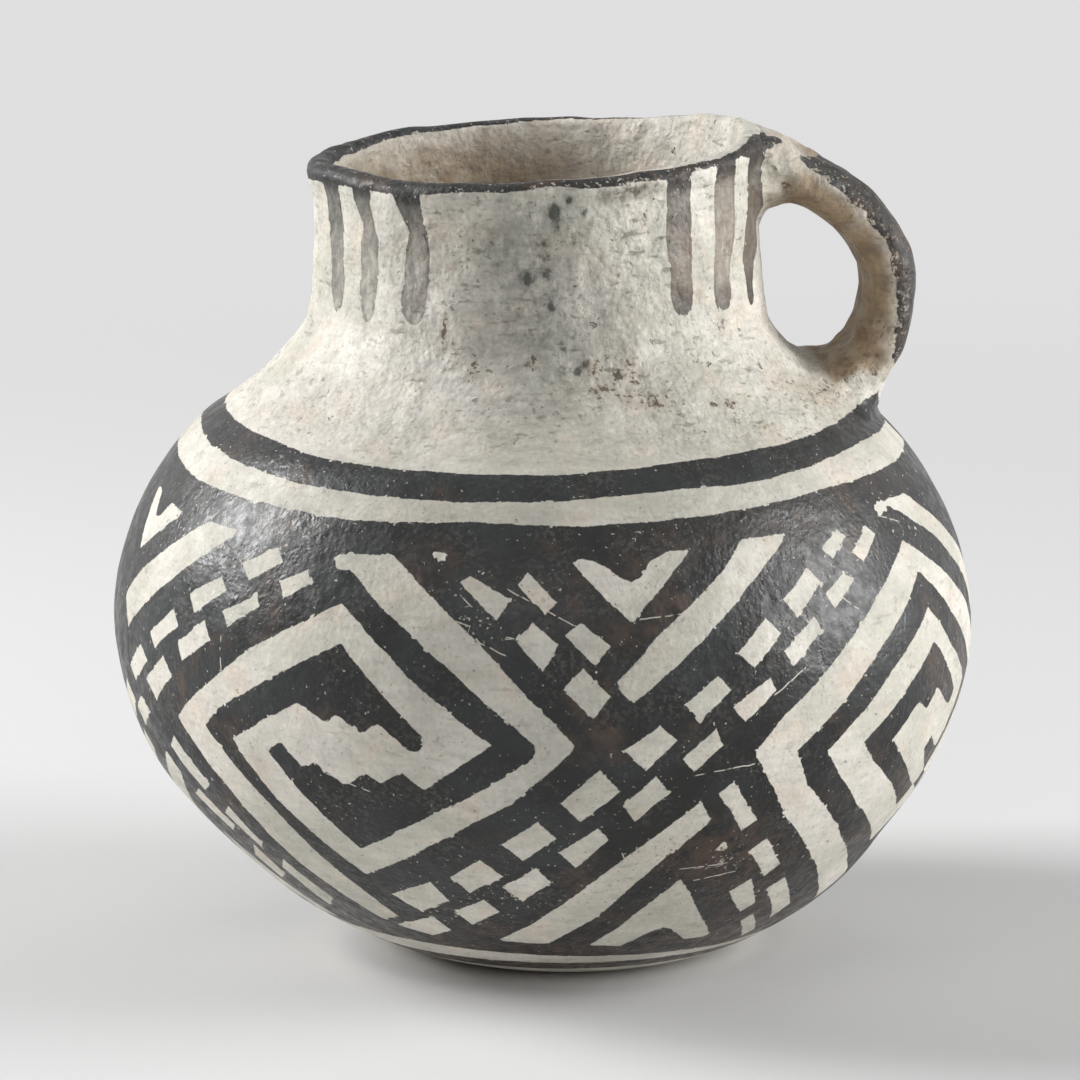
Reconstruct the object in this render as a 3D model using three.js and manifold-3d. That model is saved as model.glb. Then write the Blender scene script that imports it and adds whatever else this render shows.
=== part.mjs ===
// Pottery pitcher: a squat round belly, a short wide neck and one strap handle from lip to shoulder.
// It is built as the potter built it. A base pat is pressed out, courses of coiled clay are lapped
// onto each other up to the lip, and the strap is luted on with a collar of clay at each root.
// Units are millimetres, +Z is up, and the handle is on the +X side.
// The origin is on the table, under the middle of the belly.

import * as THREE from "three";
import { mergeVertices } from "three/addons/utils/BufferGeometryUtils.js";
import Module from "manifold-3d";

// Outline of the body's outer face. Each rise is measured from the height before it.
const FOOT_RADIUS = 25.9;
const BELLY_RADIUS = 80;
const BELLY_HEIGHT = 61.6;
const SHOULDER_RADIUS = 61.9;
const SHOULDER_RISE = 38.8;
const NECK_FOOT_RADIUS = 42.5;
const NECK_FOOT_RISE = 19.2;
const WAIST_RADIUS = 41.1;
const WAIST_RISE = 15.7;
const LIP_RADIUS = 42;
const LIP_RISE = 12;

// How far the outline runs on along its own direction at each of those places, before it turns.
const UNDERSIDE_RUN = 24;
const UNDERSIDE_CLIMB = 3.7;
const BELLY_RUN_DOWN = 27.2;
const BELLY_RUN_UP = 20.4;
const SHOULDER_RUN_OUT = 4.7;
const SHOULDER_RUN_IN = 10;
const SHOULDER_SLOPE = 0.63;
const NECK_FOOT_RUN_DOWN = 5;
const NECK_FOOT_RUN_UP = 4.2;
const NECK_FOOT_LEAN = 0.22;
const WAIST_RUN_DOWN = 7.1;
const WAIST_RUN_UP = 6.4;
const LIP_RUN = 4.5;
const LIP_LEAN = 0.25;

// Wall, floor and foot
const WALL = 5;
const LIP_WALL = 4.4;
const LIP_ROUND = 1.8;
const FLOOR = 6.5;
const FLOOR_RADIUS = 24;
const HOLLOW_RADIUS = 15;
const HOLLOW_DEPTH = 2.2;

// Courses of clay. Lengths are measured along the outer face, and each course laps inside the last.
const PAT_EDGE = 16;
const LIP_COIL = 9;
const LAP = 5;
const COURSE_NAMES = [
  "under_course",
  "lower_belly_course",
  "belly_course",
  "upper_belly_course",
  "shoulder_course",
  "neck_foot_course",
  "neck_course",
];

// Handle: a flat strap with rounded edges
const FINGER_GAP = 19.4;
const HANDLE_WIDTH = 23;
const HANDLE_THICKNESS = 9.8;
const HANDLE_SQUARENESS = 2.7;
const HANDLE_BELOW_LIP = 0.9;
const HANDLE_TOP_RUN = 12;
const HANDLE_TOP_DROOP = 1.5;
const HANDLE_SIDE_DROP = 21.5;
const HANDLE_SIDE_RUN_UP = 10.5;
const HANDLE_SIDE_RUN_DOWN = 9;
const LOWER_ROOT_RADIUS = 55.5;
const LOWER_ROOT_RUN = 8;
const LOWER_ROOT_ANGLE = 48;

// Luting clay round the strap's two roots
const UPPER_LUTE = 3;
const LOWER_LUTE = 3.6;
const LUTE_REACH = 9;
const LUTE_EDGE = 0.8;
const ROOT_DEPTH = 12;
const JOINT_GAP = 0.3;

// What the hand left: the foot stands off the belly's middle, the neck leans and the lip rises
const FOOT_SHIFT = 5;
const FOOT_SHIFT_FADE = 28;
const NECK_LEAN = 1.1;
const LIP_TILT = 1.7;
const LIP_PEAK = 2.6;
const LIP_PEAK_SPREAD = 42;

// Swells and dents of the lower wall: direction in degrees, height, and how far they stand out.
const SWELLS = [
  { direction: 180, height: 40, out: 0.6 },
  { direction: 180, height: 21, out: -0.7 },
  { direction: 0, height: 25, out: -0.9 },
  { direction: 0, height: 12, out: 0.8 },
];
const SWELL_WIDTH = 40;
const SWELL_HEIGHT = 8;

// Fineness of the model
const FACETS = 48;
const OUTLINE_STEPS = 60;
const COURSE_STEPS = 4;
const LIP_SIDE_STEPS = 2;
const LIP_STEPS = 6;
const HOLLOW_STEPS = 4;
const STRAP_STEPS = 34;
const STRAP_SIDES = 20;
const LUTE_STEPS = 9;

const TURN = 2 * Math.PI;
const bellyHeight = BELLY_HEIGHT;
const shoulderHeight = bellyHeight + SHOULDER_RISE;
const neckFootHeight = shoulderHeight + NECK_FOOT_RISE;
const waistHeight = neckFootHeight + WAIST_RISE;
const lipHeight = waistHeight + LIP_RISE;

const wasm = await Module();
wasm.setup();

// The outer face from the foot to the lip, as five curves that share their tangents
function outlineCurves() {
  const point = (radius, height) => new THREE.Vector2(radius, height);
  const foot = point(FOOT_RADIUS, 0);
  const belly = point(BELLY_RADIUS, bellyHeight);
  const shoulder = point(SHOULDER_RADIUS, shoulderHeight);
  const neckFoot = point(NECK_FOOT_RADIUS, neckFootHeight);
  const waist = point(WAIST_RADIUS, waistHeight);
  const lip = point(LIP_RADIUS, lipHeight);
  return [
    new THREE.CubicBezierCurve(
      foot,
      point(FOOT_RADIUS + UNDERSIDE_RUN, UNDERSIDE_CLIMB),
      point(BELLY_RADIUS, bellyHeight - BELLY_RUN_DOWN),
      belly,
    ),
    new THREE.CubicBezierCurve(
      belly,
      point(BELLY_RADIUS, bellyHeight + BELLY_RUN_UP),
      point(SHOULDER_RADIUS + SHOULDER_RUN_OUT, shoulderHeight - SHOULDER_RUN_OUT * SHOULDER_SLOPE),
      shoulder,
    ),
    new THREE.CubicBezierCurve(
      shoulder,
      point(SHOULDER_RADIUS - SHOULDER_RUN_IN, shoulderHeight + SHOULDER_RUN_IN * SHOULDER_SLOPE),
      point(NECK_FOOT_RADIUS + NECK_FOOT_RUN_DOWN * NECK_FOOT_LEAN, neckFootHeight - NECK_FOOT_RUN_DOWN),
      neckFoot,
    ),
    new THREE.CubicBezierCurve(
      neckFoot,
      point(NECK_FOOT_RADIUS - NECK_FOOT_RUN_UP * NECK_FOOT_LEAN, neckFootHeight + NECK_FOOT_RUN_UP),
      point(WAIST_RADIUS, waistHeight - WAIST_RUN_DOWN),
      waist,
    ),
    new THREE.CubicBezierCurve(
      waist,
      point(WAIST_RADIUS, waistHeight + WAIST_RUN_UP),
      point(LIP_RADIUS - LIP_RUN * LIP_LEAN, lipHeight - LIP_RUN),
      lip,
    ),
  ];
}

// The outline as closely spaced stations, each with its distance along the wall and its direction
function outlineStations() {
  const stations = [];
  for (const curve of outlineCurves()) {
    for (let i = stations.length ? 1 : 0; i <= OUTLINE_STEPS; i++) {
      const t = i / OUTLINE_STEPS;
      const point = curve.getPoint(t);
      const last = stations.at(-1);
      const along = last ? last.along + point.distanceTo(last.point) : 0;
      stations.push({ point, along, tangent: curve.getTangent(t) });
    }
  }
  return stations;
}

const stations = outlineStations();
const wallLength = stations.at(-1).along;

// The place on the outer face at a distance along the wall from the foot's edge
function stationAt(along) {
  const next = stations.findIndex((station) => station.along >= along);
  const b = stations[next < 0 ? stations.length - 1 : Math.max(next, 1)];
  const a = stations[stations.indexOf(b) - 1];
  const t = THREE.MathUtils.clamp((along - a.along) / (b.along - a.along), 0, 1);
  return {
    point: a.point.clone().lerp(b.point, t),
    tangent: a.tangent.clone().lerp(b.tangent, t).normalize(),
  };
}

// The same place, moved square to the face: inwards for the inner face, outwards for a clearance
function facePoint(along, outwards) {
  const { point, tangent } = stationAt(along);
  return new THREE.Vector2(point.x + tangent.y * outwards, point.y - tangent.x * outwards);
}

const neckStart = stations[3 * OUTLINE_STEPS].along;

function wallThickness(along) {
  const up = THREE.MathUtils.smoothstep(along, neckStart, wallLength);
  return THREE.MathUtils.lerp(WALL, LIP_WALL, up);
}

function innerPoint(along) {
  return facePoint(along, -wallThickness(along));
}

// Moves a point of the true round form to where the hand left it. The flat foot ring stays round.
function handFormed(radius, angle, height) {
  let out = 0;
  for (const swell of SWELLS) {
    const aside = Math.cos(angle - THREE.MathUtils.degToRad(swell.direction));
    const turned = THREE.MathUtils.radToDeg(Math.acos(THREE.MathUtils.clamp(aside, -1, 1)));
    const up = (height - swell.height) / SWELL_HEIGHT;
    out += swell.out * Math.exp(-((turned / SWELL_WIDTH) ** 2) - up ** 2);
  }
  const reach = THREE.MathUtils.smoothstep(radius, FOOT_RADIUS, FOOT_RADIUS + WALL);
  const shift = FOOT_SHIFT * Math.exp(-height / FOOT_SHIFT_FADE);
  const restShift = FOOT_SHIFT * Math.exp(-bellyHeight / FOOT_SHIFT_FADE);
  const lean = NECK_LEAN * Math.max(0, (height - shoulderHeight) / (lipHeight - shoulderHeight));
  const upNeck = THREE.MathUtils.clamp((height - neckFootHeight) / (lipHeight - neckFootHeight), 0, 1);
  const sides = THREE.MathUtils.radToDeg(Math.abs(Math.atan2(Math.sin(angle), Math.cos(angle))));
  const peak = LIP_PEAK * Math.exp(-((sides / LIP_PEAK_SPREAD) ** 2));
  const lift = (LIP_TILT * Math.cos(angle) + peak) * upNeck ** 2;
  const formed = radius + out * reach;
  return [
    formed * Math.cos(angle) + shift - restShift - lean,
    formed * Math.sin(angle),
    height + lift,
  ];
}

function geometryOf(positions, index) {
  const geometry = new THREE.BufferGeometry();
  geometry.setAttribute("position", new THREE.Float32BufferAttribute(positions, 3));
  geometry.setIndex(index);
  return geometry;
}

// A closed outline of radius and height, turned round the axis and then given its uneven form
function turnedSolid(outline) {
  const positions = [];
  const index = [];
  const rings = outline.map((point) => {
    const first = positions.length / 3;
    const onAxis = point.x === 0;
    const count = onAxis ? 1 : FACETS;
    for (let i = 0; i < count; i++) {
      positions.push(...handFormed(point.x, (i / FACETS) * TURN, point.y));
    }
    return (i) => first + (i % count);
  });
  for (let j = 0; j < outline.length; j++) {
    const k = (j + 1) % outline.length;
    if (outline[j].x === 0 && outline[k].x === 0) continue;
    // Two pieces that share a joint split its faces along the same diagonal, so that they meet.
    const widens = outline[j].x < outline[k].x;
    for (let i = 0; i < FACETS; i++) {
      const a = rings[j](i);
      const b = rings[j](i + 1);
      const c = rings[k](i + 1);
      const d = rings[k](i);
      if (outline[j].x === 0) index.push(a, c, d);
      else if (outline[k].x === 0) index.push(a, b, c);
      else if (widens) index.push(a, b, c, a, c, d);
      else index.push(a, b, d, b, c, d);
    }
  }
  return geometryOf(positions, index);
}

// Points up the outer face, or down the inner face, between two distances along the wall
function upOuterFace(from, to, steps) {
  return Array.from({ length: steps + 1 }, (_, i) =>
    facePoint(THREE.MathUtils.lerp(from, to, i / steps), 0),
  );
}

function downInnerFace(from, to, steps) {
  return Array.from({ length: steps + 1 }, (_, i) =>
    innerPoint(THREE.MathUtils.lerp(from, to, i / steps)),
  );
}

// Where a course ends: its outer edge stands higher than its inner edge by the lap
const courseLength = (wallLength - PAT_EDGE - LIP_COIL) / COURSE_NAMES.length;

function seam(number) {
  const middle = PAT_EDGE + courseLength * number;
  return { outer: middle + LAP / 2, inner: middle - LAP / 2 };
}

// The pressed-out base: a flat foot ring round a shallow hollow, and a level floor inside
function basePat() {
  const top = seam(0);
  const hollow = [];
  for (let i = 0; i <= HOLLOW_STEPS; i++) {
    const t = i / HOLLOW_STEPS;
    hollow.push(new THREE.Vector2(HOLLOW_RADIUS * t, HOLLOW_DEPTH * Math.cos((t * Math.PI) / 2) ** 2));
  }
  hollow.at(-1).y = 0;
  const edge = innerPoint(top.inner);
  return turnedSolid([
    ...hollow,
    ...upOuterFace(0, top.outer, COURSE_STEPS),
    edge,
    new THREE.Vector2(FLOOR_RADIUS, FLOOR),
    new THREE.Vector2(0, FLOOR),
  ]);
}

function course(number) {
  const low = seam(number);
  const high = seam(number + 1);
  return turnedSolid([
    ...upOuterFace(low.outer, high.outer, COURSE_STEPS),
    ...downInnerFace(high.inner, low.inner, COURSE_STEPS),
  ]);
}

// The last coil, rounded over the top
function lipCoil() {
  const low = seam(COURSE_NAMES.length);
  const outerEnd = facePoint(wallLength, 0);
  const innerEnd = innerPoint(wallLength);
  const middle = outerEnd.clone().add(innerEnd).multiplyScalar(0.5);
  const across = outerEnd.clone().sub(middle);
  const up = stations.at(-1).tangent.clone().multiplyScalar(LIP_ROUND);
  const over = [];
  for (let i = 1; i < LIP_STEPS; i++) {
    const turn = (i / LIP_STEPS) * Math.PI;
    over.push(
      middle
        .clone()
        .addScaledVector(across, Math.cos(turn))
        .addScaledVector(up, Math.sin(turn)),
    );
  }
  return turnedSolid([
    ...upOuterFace(low.outer, wallLength, LIP_SIDE_STEPS),
    ...over,
    ...downInnerFace(wallLength, low.inner, LIP_SIDE_STEPS),
  ]);
}

// The whole body as one filled form with a clearance round it, which trims what is set against it.
// It stands well above the lip, so that nothing of the handle reaches over the mouth.
function bodyForm(clearance) {
  const steps = (COURSE_NAMES.length + 2) * COURSE_STEPS;
  const outside = Array.from({ length: steps + 1 }, (_, i) =>
    facePoint((wallLength * i) / steps, clearance),
  );
  const top = lipHeight + HANDLE_THICKNESS;
  return turnedSolid([
    new THREE.Vector2(0, -clearance),
    ...outside,
    new THREE.Vector2(outside.at(-1).x, top),
    new THREE.Vector2(0, top),
  ]);
}

// Height of the shoulder's outer face at a radius, between the belly and the neck
function shoulderHeightAt(radius) {
  const above = stations.slice(OUTLINE_STEPS, 3 * OUTLINE_STEPS);
  const next = above.findIndex((station) => station.point.x <= radius);
  return above.at(next).point.y;
}

// Middle line of the strap, in the plane of the handle, from inside the lip to inside the shoulder
function strapPath() {
  const [lipX, , lipZ] = handFormed(LIP_RADIUS, 0, lipHeight);
  const point = (x, z) => new THREE.Vector3(x, 0, z);
  const [neckX] = handFormed(WAIST_RADIUS, 0, waistHeight);
  const root = point(lipX, lipZ - HANDLE_BELOW_LIP - HANDLE_THICKNESS / 2);
  const rootDirection = point(HANDLE_TOP_RUN, -HANDLE_TOP_DROOP);
  const sideX = neckX + FINGER_GAP + HANDLE_THICKNESS / 2;
  const side = point(sideX, root.z - HANDLE_SIDE_DROP);
  const foot = point(LOWER_ROOT_RADIUS, shoulderHeightAt(LOWER_ROOT_RADIUS));
  const footAngle = THREE.MathUtils.degToRad(LOWER_ROOT_ANGLE);
  const footDirection = point(-Math.cos(footAngle), -Math.sin(footAngle));
  const inLip = root.clone().addScaledVector(rootDirection.clone().normalize(), -ROOT_DEPTH);
  const inShoulder = foot.clone().addScaledVector(footDirection, ROOT_DEPTH);
  const path = new THREE.CurvePath();
  path.add(new THREE.LineCurve3(inLip, root));
  path.add(
    new THREE.CubicBezierCurve3(
      root,
      root.clone().add(rootDirection),
      point(side.x, side.z + HANDLE_SIDE_RUN_UP),
      side,
    ),
  );
  path.add(
    new THREE.CubicBezierCurve3(
      side,
      point(side.x, side.z - HANDLE_SIDE_RUN_DOWN),
      foot.clone().addScaledVector(footDirection, -LOWER_ROOT_RUN),
      foot,
    ),
  );
  path.add(new THREE.LineCurve3(foot, inShoulder));
  return path;
}

const handlePath = strapPath();
const handleLength = handlePath.getLength();

// A point on the rim of the strap's section, a flat oval: across the strap, then through it
function sectionPoint(turn, grow) {
  const power = 2 / HANDLE_SQUARENESS;
  const rounded = (value) => Math.sign(value) * Math.abs(value) ** power;
  return {
    through: (HANDLE_THICKNESS / 2 + grow) * rounded(Math.cos(turn)),
    across: (HANDLE_WIDTH / 2 + grow) * rounded(Math.sin(turn)),
  };
}

// A solid swept along the middle line of the strap, its section grown by a function of the distance
function sweptSolid(from, to, steps, growAt) {
  const positions = [];
  const index = [];
  const across = new THREE.Vector3(0, 1, 0);
  for (let i = 0; i <= steps; i++) {
    const along = THREE.MathUtils.lerp(from, to, i / steps);
    const centre = handlePath.getPointAt(along / handleLength);
    const tangent = handlePath.getTangentAt(along / handleLength);
    const through = new THREE.Vector3().crossVectors(across, tangent);
    for (let j = 0; j < STRAP_SIDES; j++) {
      const section = sectionPoint((j / STRAP_SIDES) * TURN, growAt(along));
      const point = centre
        .clone()
        .addScaledVector(through, section.through)
        .addScaledVector(across, section.across);
      positions.push(point.x, point.y, point.z);
    }
  }
  const vertex = (i, j) => i * STRAP_SIDES + (j % STRAP_SIDES);
  for (let j = 0; j < STRAP_SIDES; j++) {
    for (let i = 0; i < steps; i++) {
      const a = vertex(i, j);
      const b = vertex(i, j + 1);
      const c = vertex(i + 1, j + 1);
      const d = vertex(i + 1, j);
      index.push(a, b, c, a, c, d);
    }
    if (j === 0 || j === STRAP_SIDES - 1) continue;
    index.push(vertex(0, 0), vertex(0, j + 1), vertex(0, j));
    index.push(vertex(steps, 0), vertex(steps, j), vertex(steps, j + 1));
  }
  return geometryOf(positions, index);
}

function solidOf(geometry) {
  const merged = mergeVertices(geometry);
  const vertProperties = merged.getAttribute("position").array;
  const triVerts = new Uint32Array(merged.index.array);
  return new wasm.Manifold(new wasm.Mesh({ numProp: 3, vertProperties, triVerts }));
}

function geometryFrom(solid) {
  const { vertProperties, triVerts } = solid.getMesh();
  return geometryOf(Array.from(vertProperties), Array.from(triVerts));
}

const trimBody = solidOf(bodyForm(JOINT_GAP));

function handleStrap() {
  const strap = solidOf(sweptSolid(0, handleLength, STRAP_STEPS, () => 0));
  return geometryFrom(strap.subtract(trimBody));
}

// A collar of clay, thick against the wall and drawn out thin along the strap
function lute(thickness, distanceFromRoot, from, to) {
  const growAt = (along) => {
    const out = THREE.MathUtils.clamp(distanceFromRoot(along) / LUTE_REACH, 0, 1);
    return JOINT_GAP + LUTE_EDGE + (thickness - LUTE_EDGE) * (1 - out) ** 2;
  };
  const collar = solidOf(sweptSolid(from, to, LUTE_STEPS, growAt));
  const socket = solidOf(sweptSolid(0, handleLength, STRAP_STEPS, () => JOINT_GAP));
  return geometryFrom(collar.subtract(socket).subtract(trimBody));
}

function upperLute() {
  const end = ROOT_DEPTH + LUTE_REACH;
  return lute(UPPER_LUTE, (along) => along - ROOT_DEPTH, 0, end);
}

function lowerLute() {
  const start = handleLength - ROOT_DEPTH - LUTE_REACH;
  return lute(LOWER_LUTE, (along) => handleLength - ROOT_DEPTH - along, start, handleLength);
}

// Finishes: pale slip, the dark painted zone of the belly, the dark lip line and the bare clay foot
const slip = { color: 0xcdc4b8, roughness: 0.82, metalness: 0 };
const paint = { color: 0x3e3a39, roughness: 0.7, metalness: 0 };
const clay = { color: 0xb9a994, roughness: 0.9, metalness: 0 };

const pitcher = new THREE.Group();

function addPiece(name, geometry, finish) {
  geometry.computeVertexNormals();
  const piece = new THREE.Mesh(geometry, new THREE.MeshStandardMaterial(finish));
  piece.name = name;
  pitcher.add(piece);
}

const paintedCourses = new Set(["under_course", "lower_belly_course", "belly_course", "upper_belly_course"]);

addPiece("base_pat", basePat(), clay);
COURSE_NAMES.forEach((name, number) => {
  addPiece(name, course(number), paintedCourses.has(name) ? paint : slip);
});
addPiece("lip_coil", lipCoil(), paint);
addPiece("handle_strap", handleStrap(), paint);
addPiece("upper_lute", upperLute(), slip);
addPiece("lower_lute", lowerLute(), slip);

export default pitcher;
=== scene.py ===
# Pottery pitcher: the painted slip, the hand-formed wall and the luted strap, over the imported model.
import functools
import math

import bpy
import numpy as np
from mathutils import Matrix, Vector, noise
from mathutils.bvhtree import BVHTree


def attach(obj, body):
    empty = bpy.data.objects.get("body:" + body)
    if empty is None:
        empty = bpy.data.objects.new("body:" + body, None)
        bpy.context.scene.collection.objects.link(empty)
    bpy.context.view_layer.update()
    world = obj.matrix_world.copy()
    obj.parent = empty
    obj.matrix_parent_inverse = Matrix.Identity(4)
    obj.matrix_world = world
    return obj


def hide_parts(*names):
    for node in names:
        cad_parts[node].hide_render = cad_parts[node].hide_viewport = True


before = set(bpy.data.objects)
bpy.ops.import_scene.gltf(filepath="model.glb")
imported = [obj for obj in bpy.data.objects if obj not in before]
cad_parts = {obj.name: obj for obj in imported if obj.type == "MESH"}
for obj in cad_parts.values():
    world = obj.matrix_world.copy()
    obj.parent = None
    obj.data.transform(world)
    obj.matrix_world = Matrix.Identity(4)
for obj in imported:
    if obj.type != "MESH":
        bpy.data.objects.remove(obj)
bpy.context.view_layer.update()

MM = 0.001

# Outline of the body's outer face in millimetres, as the model has it
FOOT_RADIUS = 25.9
BELLY_HEIGHT = 61.6
SHOULDER_HEIGHT = BELLY_HEIGHT + 38.8
NECK_FOOT_HEIGHT = SHOULDER_HEIGHT + 19.2
WAIST_RADIUS = 41.1
WAIST_HEIGHT = NECK_FOOT_HEIGHT + 15.7
LIP_RADIUS = 42
LIP_HEIGHT = WAIST_HEIGHT + 12

# Its stations: radius and height, and how far out and up the curve is led before it gets there and after it
STATIONS = [
    ((FOOT_RADIUS, 0), (0, 0), (24, 3.7)),
    ((80, BELLY_HEIGHT), (0, -27.2), (0, 20.4)),
    ((61.9, SHOULDER_HEIGHT), (4.7, -4.7 * 0.63), (-10, 10 * 0.63)),
    ((42.5, NECK_FOOT_HEIGHT), (5 * 0.22, -5), (-4.2 * 0.22, 4.2)),
    ((WAIST_RADIUS, WAIST_HEIGHT), (0, -7.1), (0, 6.4)),
    ((LIP_RADIUS, LIP_HEIGHT), (-4.5 * 0.25, -4.5), (0, 0)),
]

# Wall, floor and foot
WALL = 5
LIP_WALL = 4.4
LIP_ROUND = 1.8
FLOOR = 6.5
FLOOR_RADIUS = 24
FLOOR_EDGE = 13.5
HOLLOW_RADIUS = 15
HOLLOW_DEPTH = 2.2

# Strap
FINGER_GAP = 19.4
HANDLE_WIDTH = 23
HANDLE_THICKNESS = 9.8
HANDLE_SQUARENESS = 2.7
HANDLE_BELOW_LIP = 0.9
HANDLE_TOP_RUN = 12
HANDLE_TOP_DROOP = 1.5
HANDLE_SIDE_DROP = 21.5
HANDLE_SIDE_RUN_UP = 10.5
HANDLE_SIDE_RUN_DOWN = 9
LOWER_ROOT_RADIUS = 55.5
LOWER_ROOT_RUN = 8
LOWER_ROOT_ANGLE = 48
ROOT_DEPTH = 12

# What the hand left: the foot stands off the belly's middle, the neck leans and the lip rises
FOOT_SHIFT = 5
FOOT_SHIFT_FADE = 28
NECK_LEAN = 1.1
LIP_TILT = 1.7
LIP_PEAK = 2.6
LIP_PEAK_SPREAD = 42
SWELL_WIDTH = 40
SWELL_HEIGHT = 8

# Swells and dents of the lower wall: direction in degrees, height, and how far they stand out
SWELLS = [(180, 40, 0.6), (180, 21, -0.7), (0, 25, -0.9), (0, 12, 0.8)]

# Unevenness of the hand-made surface: size of the lumps in millimetres, how far they stand out on the belly
# and on the neck, and how much taller than wide they are
LUMPS = [
    (34, 0.45, 0.5, 1), (12, 0.16, 0.6, 1), (5.2, 0.07, 0.34, 1), (7, 0.04, 0.36, 3.5), (3, 0.03, 0.2, 1),
]
NECK_LUMPS_FROM = 104
NECK_LUMPS_FULL = 122

# Waves of the lip's height: their length and how far they rise, and how far down the neck they fade
LIP_WAVES = [(21, 0.85), (8, 0.4)]
LIP_WAVES_FADE = 9

# Fineness of the skins: columns round the painted face and round the hidden faces, and steps along them
COLUMNS = 560
HIDDEN_COLUMNS = 140
FOOT_STEP = 2.4
PAINT_STEP = 1.1
NECK_STEP = 1.25
INNER_NECK_STEP = 2.6
INNER_BELLY_STEP = 9
STRAP_STEP = 0.8
STRAP_SIDES = 96

# Points on each curve of the two outlines that the skins follow
WALL_CURVE_STEPS = 240
STRAP_CURVE_STEPS = 120
STRAP_END_STEPS = 20


def smooth(value, low, high):
    """0 below low, 1 above high and a smooth rise between them."""
    t = np.clip((value - low) / (high - low), 0, 1)
    return t * t * (3 - 2 * t)


def bell(*distances):
    """1 at no distance, fading to 0 beyond a distance of about 2."""
    return np.exp(-sum(distance**2 for distance in distances))


def degrees_aside(around, middle):
    """Degrees from a direction, the short way round."""
    return (around - middle + 180) % 360 - 180


def round_turns(count):
    """Directions all the way round, evenly spaced."""
    return np.arange(count) / count * 2 * math.pi


def bezier(corners, steps, start=0):
    """Points on a cubic curve, from step start on."""
    t = np.linspace(0, 1, steps + 1)[start:, None]
    a, b, c, d = (np.array(corner, float) for corner in corners)
    return (1 - t) ** 3 * a + 3 * (1 - t) ** 2 * t * b + 3 * (1 - t) * t**2 * c + t**3 * d


def paced(points):
    """Distance along a line of points, and the line's direction at each."""
    along = np.concatenate([[0], np.cumsum(np.linalg.norm(np.diff(points, axis=0), axis=1))])
    return along, np.gradient(points, along, axis=0)


def outline():
    """The outer face from the foot's edge to the lip: radius and height of closely spaced points."""
    curves = []
    for (start, _, onward), (end, backward, _) in zip(STATIONS, STATIONS[1:]):
        corners = [start, np.add(start, onward), np.add(end, backward), end]
        curves.append(bezier(corners, WALL_CURVE_STEPS, 1 if curves else 0))
    return np.vstack(curves)


WALL_POINTS = outline()
WALL_ALONG, WALL_SLOPES = paced(WALL_POINTS)
WALL_LENGTH = WALL_ALONG[-1]
NECK_START = np.interp(NECK_FOOT_HEIGHT, WALL_POINTS[:, 1], WALL_ALONG)


def wall_place(along, outwards=0):
    """Radius and height at a distance along the outer face, moved square to it."""
    columns = (*WALL_POINTS.T, *WALL_SLOPES.T)
    radius, height, across, up = (np.interp(along, WALL_ALONG, column) for column in columns)
    return np.stack([radius + up * outwards, height - across * outwards], axis=-1)


def inner_place(along):
    thickness = WALL + (LIP_WALL - WALL) * smooth(along, NECK_START, WALL_LENGTH)
    return wall_place(along, -thickness)


def up_neck(height):
    """0 up to the foot of the neck and 1 at the lip."""
    return np.clip((height - NECK_FOOT_HEIGHT) / (LIP_HEIGHT - NECK_FOOT_HEIGHT), 0, 1)


def off_axis(height):
    """How far along X the hand moved the form's middle at a height."""
    shift = FOOT_SHIFT * (np.exp(-height / FOOT_SHIFT_FADE) - math.exp(-BELLY_HEIGHT / FOOT_SHIFT_FADE))
    lean = NECK_LEAN * np.maximum(0, (height - SHOULDER_HEIGHT) / (LIP_HEIGHT - SHOULDER_HEIGHT))
    return shift - lean


def hand_formed(radius, angle, height):
    """Moves points of the true round form to where the hand left them. The flat foot ring stays round."""
    degrees = np.degrees(np.arctan2(np.sin(angle), np.cos(angle)))
    out = np.zeros_like(height)
    for direction, level, amount in SWELLS:
        aside = degrees_aside(degrees, direction)
        out = out + amount * bell(aside / SWELL_WIDTH, (height - level) / SWELL_HEIGHT)
    formed = radius + out * smooth(radius, FOOT_RADIUS, FOOT_RADIUS + WALL)
    peak = LIP_PEAK * bell(degrees / LIP_PEAK_SPREAD)
    lift = (LIP_TILT * np.cos(angle) + peak) * up_neck(height) ** 2
    return np.stack(
        [formed * np.cos(angle) + off_axis(height), formed * np.sin(angle), height + lift], axis=-1
    )


def formed_point(radius, height):
    """One point of the hand-formed shape, in the handle's direction."""
    return hand_formed(np.array([radius], float), np.zeros(1), np.array([height], float))[0]


def noise_at(points, size, seed, taller=1):
    """Smooth noise of about -0.6 to 0.6 with lumps of a size, at each point."""
    offset = Vector((17.3 * seed, 5.1, 3.7 * seed))
    scale = np.array([1, 1, 1 / taller]) / size
    return np.array([noise.noise(Vector(point) + offset) for point in points * scale])


def lumps(points, neck_share):
    """How far the uneven surface stands out at each point, in millimetres."""
    total = np.zeros(len(points))
    for seed, (size, on_belly, on_neck, taller) in enumerate(LUMPS):
        amount = on_belly + (on_neck - on_belly) * neck_share
        total += amount * noise_at(points, size, seed, taller)
    return total


def lip_waves(angle, height):
    rim = np.stack([LIP_RADIUS * np.cos(angle), LIP_RADIUS * np.sin(angle), np.zeros_like(angle)], axis=-1)
    total = sum(amount * noise_at(rim, size, 5 + seed) for seed, (size, amount) in enumerate(LIP_WAVES))
    return total * smooth(height, LIP_HEIGHT - LIP_WAVES_FADE, LIP_HEIGHT)


# Painted design. A place on the wall is (degrees round from the front, with the handle at 90,
# millimetres up the outer face from the foot's edge). Figures are left in the pale slip.

# Degrees over which the corners of a ring's line are eased, and how soon that fades
EASE_REACH = 9
EASE_WIDTH = 3.5

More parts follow.
